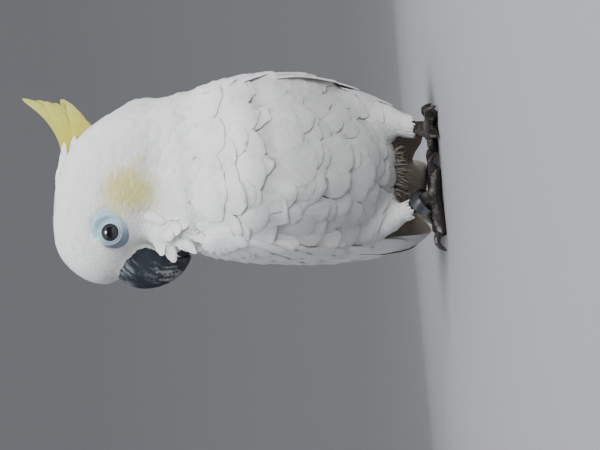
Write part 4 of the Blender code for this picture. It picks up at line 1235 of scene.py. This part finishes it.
# The same keratin, dyed by the bird's own lemon yellow, paler toward the tips.
crest_root = linear("B5B236")
crest_tip = linear("C4C066")
vanes = start_vanes()
for root, tip, bow, half, sideways in CREST_PLUMES:
    add_vane(vanes, plume_spot(root, tip, bow, sideways), 1.1 * (root[0] - tip[0]), half,
             lambda share: blend(crest_root, crest_tip, share ** 2), rows=18, blunt=0.6,
             camber=0.3, thickness=0.25, point=1.7, root_share=0.6, ragged=0.12)
finish_vanes("crest_plumes", vanes, ["crest"])

skin_tree = BVHTree.FromObject(skin, bpy.context.evaluated_depsgraph_get())


def on_skin(point):
    """The nearest place on the skin and its way out, in body millimetres."""
    hit, normal, _, _ = skin_tree.find_nearest(place(point))
    return (np.array(hit) - ORIGIN) / MM, np.array(normal)


def petal_spot(root, end, out, bulge, curl):
    """Where a loose feather lies: a bent line from the skin out to its tip."""
    across = unit(np.cross(end - root, out))

    def spot(share, x, lift):
        middle = root + (end - root) * share + out * bulge * (share - share * share)
        return middle + across * x + out * (lift - curl * x * x)
    return spot


vanes = start_vanes()
for sign in (1, -1):
    for index in range(COVER_COUNT):
        share = (index + 0.4 + 0.2 * sign) / COVER_COUNT
        tip_f, tip_z = (float(np.interp(share * 5, range(6), [spot[axis] for spot in COVER_TIPS]))
                        for axis in (0, 1))
        tip_f += 4.0 * (noise.random() - 0.5)
        tip_z += 5.0 * (noise.random() - 0.5)
        turn = math.radians(-10 + 62 * share + 16 * (noise.random() - 0.5))
        length = 13 + 4 * noise.random()
        root, out = on_skin(head_mm(tip_f + length * math.cos(turn), (9 - 3 * share) * sign,
                                    tip_z + length * math.sin(turn)))
        end = head_mm(tip_f, (1.6 + 6.0 * noise.random()) * sign, tip_z)
        out = unit(0.35 * out + unit(head_mm(0, sign, 0) - head_mm(0, 0, 0)))
        spot = petal_spot(root - out * 0.5, end, out, 3.0 * noise.random(), 0.02)
        add_vane(vanes, spot, length, 2.5, plumage_white, rows=12, blunt=0.4, camber=0.1,
                 thickness=0.2, root_share=0.7, ragged=0.3)
finish_vanes("crest_covers", vanes)

# ------------------------------------------------------------------ cheek ruff
# Rounded white feathers that the bird fluffs forward from its cheeks over the
# lower half of the bill, and downward under the jaw.
RUFF = [                       # root forward, z; tip forward, z; tip to the side; half width
    (21.0, 177.5, 24.5, 163.5, 18.5, 3.4), (17.5, 172, 21.0, 156.5, 21.5, 4.6),
    (15.0, 165, 19.5, 148.5, 19.5, 4.6), (20.5, 166, 26.0, 151.0, 20.5, 4.4),
    (24.5, 172, 29.5, 157.5, 21.0, 4.2), (24.0, 161, 30.0, 146.8, 18.0, 4.0),
    (27.0, 162, 36.2, 146.2, 14.5, 4.2), (26.0, 174, 33.8, 163.0, 20.5, 3.6),
    (29.0, 166, 40.8, 153.4, 15.0, 3.8), (30.5, 172, 47.6, 164.8, 13.5, 3.5),
    (30.5, 178, 43.2, 171.2, 15.5, 3.1), (20.5, 178, 24.0, 168.0, 19.5, 2.8),
    (29.0, 160, 37.3, 144.4, 17.5, 3.4), (33.0, 161, 42.6, 151.5, 16.0, 3.0),
    (22.0, 160, 25.0, 145.0, 20.0, 3.4), (24.0, 167, 27.0, 153.0, 21.5, 3.4),
    (27.0, 176, 32.0, 162.5, 22.0, 3.2), (26.0, 160, 31.0, 147.5, 19.0, 3.4)]
ROOT_DEPTH = 2.0               # of the roots under the skin
vanes = start_vanes()
for sign in (1, -1):
    for root_f, root_z, tip_f, tip_z, tip_side, half in RUFF:
        for layer in (0, 1):
            stray = [layer * 2.6 * (noise.random() - 0.5) for _ in range(4)]
            root, way_out = on_skin(head_mm(root_f + stray[0], 30 * sign,
                                            root_z + stray[1] + 1.5 * layer))
            root = root - ROOT_DEPTH * way_out
            out = unit(head_mm(0, sign, 0) - head_mm(0, 0, 0))
            end = head_mm(tip_f + stray[2], (tip_side - 0.8 * layer) * sign, tip_z + stray[3])
            spot = petal_spot(root, end + (0.8 + 2.0 * noise.random()) * out, out,
                              1.5 - 5.0 * noise.random(), -0.02)
            add_vane(vanes, spot, 15, half * (1.15 - 0.15 * layer), plumage_white, rows=14,
                     blunt=0.4, camber=0.0, thickness=0.16, point=1.7, ragged=0.35)
finish_vanes("cheek_ruff", vanes)

# ------------------------------------------------------------------ vent fringe
# Loose grey down that hangs from the lower edge of the belly, between the
# thighs and over the roots of the tail's lower coverts.
FRINGE_COUNT = 900
fringe_root = linear("70665C")
fringe_tip = linear("A2968A")
vanes = start_vanes()
for _ in range(FRINGE_COUNT):
    start = np.array((-24 + 50 * noise.random(), 6 + 34 * noise.random(), 26.0))
    root, _ = on_skin(start)
    length = 4 + 7 * noise.random()
    shade = 0.55 + 0.6 * noise.random()
    fan = 0.045 * (start[0] - 1.0)
    way = np.array((fan + 1.2 * (noise.random() - 0.5), 0.2 + 1.0 * noise.random(), -1.0))
    end = root + length * unit(way)
    out = np.array((0.3 * (noise.random() - 0.5), -1.0, -0.3))
    spot = petal_spot(root - 1.5 * unit(way), end, unit(out), 2 * noise.random(), 0.05)
    add_vane(vanes, spot, length, 0.42, lambda share: shade * blend(
        fringe_root, fringe_tip, share), rows=6, columns=2, blunt=0.4, camber=0.05,
        thickness=0.1, point=1.3, root_share=0.8, ragged=0.5)
finish_vanes("vent_fringe", vanes)

# ------------------------------------------------------------------ leg cuffs
# Short white feathers that close round each shank where the leg's plumage
# ends, down to the ring on the right leg and to the foot on the left.
CUFFS = [                      # upper middle, radius; lower middle, radius
    ((-28.8, 7.6, 28.0), 6.2, (-26.0, 5.0, 18.2), 5.6),
    ((28.8, 5.2, 24.0), 7.6, (25.4, 2.8, 13.6), 6.4)]
CUFF_COUNT = 46
vanes = start_vanes()
for upper, upper_radius, lower, lower_radius in CUFFS:
    for index in range(CUFF_COUNT):
        turn = 2 * math.pi * (index + 0.6 * noise.random()) / CUFF_COUNT
        out = np.array((math.cos(turn), math.sin(turn), 0.0))
        root = np.array(upper) + (upper_radius - 1.4) * out + (0, 0, 4 * noise.random())
        end = np.array(lower) + (lower_radius + 0.8 * noise.random()) * out
        end[2] += 3.4 * (noise.random() - 0.3)
        spot = petal_spot(root, end, out, 3.0, 0.1)
        add_vane(vanes, spot, 11, 1.5, plumage_white, rows=8, columns=4, blunt=0.45,
                 camber=0.1, thickness=0.12, point=1.6, root_share=0.7, ragged=0.4)
finish_vanes("leg_cuffs", vanes)

# ------------------------------------------------------------------ eyes
# Wet black eyeballs, set in the lids: an almost black brown iris round a black
# pupil, under a clear cornea.
PUPIL_RADIUS = 2.9
PUPIL_BLUR = 0.3
PUPIL_BLACK = "050505"
IRIS_BROWN = "231F20"
for side_name, sign in (("left", 1), ("right", -1)):
    middle = head_mm(EYE_PLACE[0], EYE_PLACE[1] * sign, EYE_PLACE[2])
    ball = bmesh.new()
    bmesh.ops.create_uvsphere(ball, u_segments=64, v_segments=32, radius=EYE_RADIUS * MM,
                              matrix=Matrix.Translation(place(middle)))
    eyeball = from_bmesh("eyeball_" + side_name, ball)
    eyeball.data.shade_smooth()
    forward, _, height = head_shares(millimetres(eyeball))
    mark(eyeball, "from_axis", "FLOAT", np.hypot(forward - EYE_PLACE[0], height - EYE_PLACE[2]))
    # Wet eye: glossy clear cornea over dark tissue.
    wet, tree, shader = start_material("wet eye " + side_name, Roughness=0.12,
                                       Coat_Weight=1.0, Coat_Roughness=0.02)
    from_axis = add_node(tree, "ShaderNodeAttribute", attribute_name="from_axis").outputs["Fac"]
    iris = add_node(tree, "ShaderNodeMapRange", {
        "Value": from_axis, "From Min": PUPIL_RADIUS - PUPIL_BLUR,
        "From Max": PUPIL_RADIUS + PUPIL_BLUR})
    wire(tree, shader, {"Base Color": add_node(tree, "ShaderNodeMix", {
        "Factor": iris, 6: linear(PUPIL_BLACK), 7: linear(IRIS_BROWN)}, data_type="RGBA")})
    eyeball.data.materials.append(wet)
    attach(eyeball, "root")
    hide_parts("eye_" + side_name)

# ------------------------------------------------------------------ bill
# The hooked bill: dark slate horn in thin layers, dusted with white powder
# from the plumage, scratched, and worn pale and ragged at its lower edge.
HORN_VOXEL = 0.45
HORN_SMOOTHING = 12
HINGE = (26, 172)              # forward and height, where the growth lines turn
LOWER_SHADE = 0.7
slate = linear("23282F")
powder = linear("A3ABB3")
worn_horn = linear("8E8F90")
# Dry layered horn, with a satin face, fine growth lines and flakes 1.5 mm wide.
FLAKES = 0.65                  # in a millimetre
horn, tree, shader = start_material("powdered slate horn", Roughness=0.5,
                                    Specular_IOR_Level=0.4)
flakes = add_pattern(tree, "ShaderNodeTexNoise", FLAKES, {"Detail": 4.0})
scratched = add_node(tree, "ShaderNodeMapRange", {
    "Value": flakes, "From Min": 0.66, "From Max": 0.76, "To Max": 0.25})
marking = add_node(tree, "ShaderNodeAttribute", attribute_name="plumage")
wire(tree, shader, {
    "Base Color": add_node(tree, "ShaderNodeMix", {"Factor": scratched, 6: marking, 7: powder},
                           data_type="RGBA"),
    "Normal": add_node(tree, "ShaderNodeBump", {
        "Height": flakes, "Strength": 0.35, "Distance": 0.2 * MM})})
for node in BILL:
    part_of_bill = fused(node + "_horn", [copied([node])], HORN_VOXEL, HORN_SMOOTHING)
    rows = millimetres(part_of_bill)
    forward, side, height = head_shares(rows)
    from_hinge = np.hypot(forward - HINGE[0], height - HINGE[1])
    along_edge = 30 * np.arctan2(height - HINGE[1], forward - HINGE[0])
    grain = np.array([noise.noise(Vector((arc / 9, gap / 1.8, row[1] / 4)))
                      for arc, gap, row in zip(along_edge, from_hinge, rows)])
    fine = noises(rows, (1.1, 1))
    ring_lines = np.sin(1.6 * from_hinge + 2 * grain)
    on_top = ease(190, 208, height + 8 * grain)
    edge_wear = ease(0.1, 0.5, grain + fine * 0.6
                     + 0.9 * hump(168, 5, height) * ease(46, 56, forward))
    edge_wear *= hump(169, 9, height) * ease(44, 54, forward)
    chip = ease(0.15, 0.45, fine + 0.2) * hump(167.5, 5, height) * ease(48, 55, forward)
    push(part_of_bill, 0.05 * ring_lines + 0.10 * grain - 0.35 * chip)
    dusted = np.clip(0.85 * on_top * (0.6 + 0.7 * grain + 0.4 * fine)
                     + 0.12 * (grain + fine), 0, 0.7)
    tone = blend(slate, powder, dusted)
    tone = blend(tone, worn_horn, 0.6 * np.clip(edge_wear, 0, 1))
    nick = hump(1.4, 0.35, np.hypot(forward - 51, height - 179 - 0.5 * fine))
    nick *= (height < 179) * (side > 0) * (0.6 + 0.5 * fine)
    tone = blend(tone, powder, 0.9 * nick)
    if node == "beak_lower":
        tone *= LOWER_SHADE
    mark(part_of_bill, "plumage", "FLOAT_COLOR", tone)
    part_of_bill.data.materials.append(horn)
    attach(part_of_bill, "root")
    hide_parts(node)

# ------------------------------------------------------------------ claws
# Eight curved claws of nearly black horn, each growing out of the end of its
# toe, and worn smooth where it grips.
CLAW_VOXEL = 0.3
CLAW_SMOOTHING = 3
CLAW_BLACK = "1A1817"
CLAW_BROWN = "3D3733"
# Smooth worn horn, nearly black, with brown streaks 2.4 mm wide.
STREAKS = 0.42                 # in a millimetre
claw_horn, tree, shader = start_material("polished claw horn", Roughness=0.34,
                                         Specular_IOR_Level=0.5)
streaks = add_pattern(tree, "ShaderNodeTexNoise", STREAKS, {"Detail": 3.0})
wire(tree, shader, {
    "Base Color": add_node(tree, "ShaderNodeMix", {
        "Factor": streaks, 6: linear(CLAW_BLACK), 7: linear(CLAW_BROWN)}, data_type="RGBA"),
    "Normal": add_node(tree, "ShaderNodeBump", {
        "Height": streaks, "Strength": 0.2, "Distance": 0.1 * MM})})
for side_name in ("left", "right"):
    for toe in (1, 2, 3, 4):
        node = "claw_%s_%d" % (side_name, toe)
        claw = fused(node + "_horn", [copied([node])], CLAW_VOXEL, CLAW_SMOOTHING)
        claw.data.materials.append(claw_horn)
        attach(claw, "root")
        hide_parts(node)

# ------------------------------------------------------------------ leg ring
# The seamless steel identity ring, slipped over the foot of the young bird. It
# hangs loose and tilted on the right shank.
RING_RADIUS = 8.2
RING_WALL = 1.0
RING_HEIGHT = 7.2
RING_PLACE = (-22.6, 0.2, 12.6)
RING_AXIS = (-0.44, 0.48, 0.76)
BRUSH_LINES = (300.0, 300.0, 4000.0)     # in a metre: 0.25 mm apart up the ring
high, inner = RING_HEIGHT / 2, RING_RADIUS - RING_WALL
ring_profile = [(inner + 0.12, -high), (inner + 0.5, -high), (RING_RADIUS - 0.3, -high + 0.03),
                (RING_RADIUS - 0.08, -high + 0.12), (RING_RADIUS, -high + 0.35),
                (RING_RADIUS, 0), (RING_RADIUS, high - 0.35), (RING_RADIUS - 0.08, high - 0.12),
                (RING_RADIUS - 0.3, high - 0.03), (inner + 0.5, high), (inner + 0.12, high),
                (inner, high - 0.2), (inner, 0), (inner, -high + 0.2)]
tilt = Vector((0, 0, 1)).rotation_difference(Vector(RING_AXIS)).to_matrix()
ring_verts, ring_faces = turned(ring_profile, closed=True)
leg_ring_piece = mesh_piece("leg_ring_steel", [
    place(np.array(RING_PLACE) + np.array(tilt @ Vector(vert))) for vert in ring_verts],
    ring_faces)
# Brushed stainless steel, dulled and finely scratched by wear.
steel, tree, shader = start_material("brushed worn steel", Base_Color=linear("8C9092"),
                                     Metallic=1.0, Roughness=0.36)
here = add_node(tree, "ShaderNodeTexCoord").outputs["Object"]
brushing = add_node(tree, "ShaderNodeMapping", {"Vector": here, "Scale": BRUSH_LINES})
lines = add_node(tree, "ShaderNodeTexNoise", {"Vector": brushing, "Scale": 1.0, "Detail": 2.0})
wire(tree, shader, {"Normal": add_node(tree, "ShaderNodeBump", {
    "Height": lines, "Strength": 0.25, "Distance": 0.06 * MM})})
leg_ring_piece.data.materials.append(steel)
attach(leg_ring_piece, "root")
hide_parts("leg_ring")
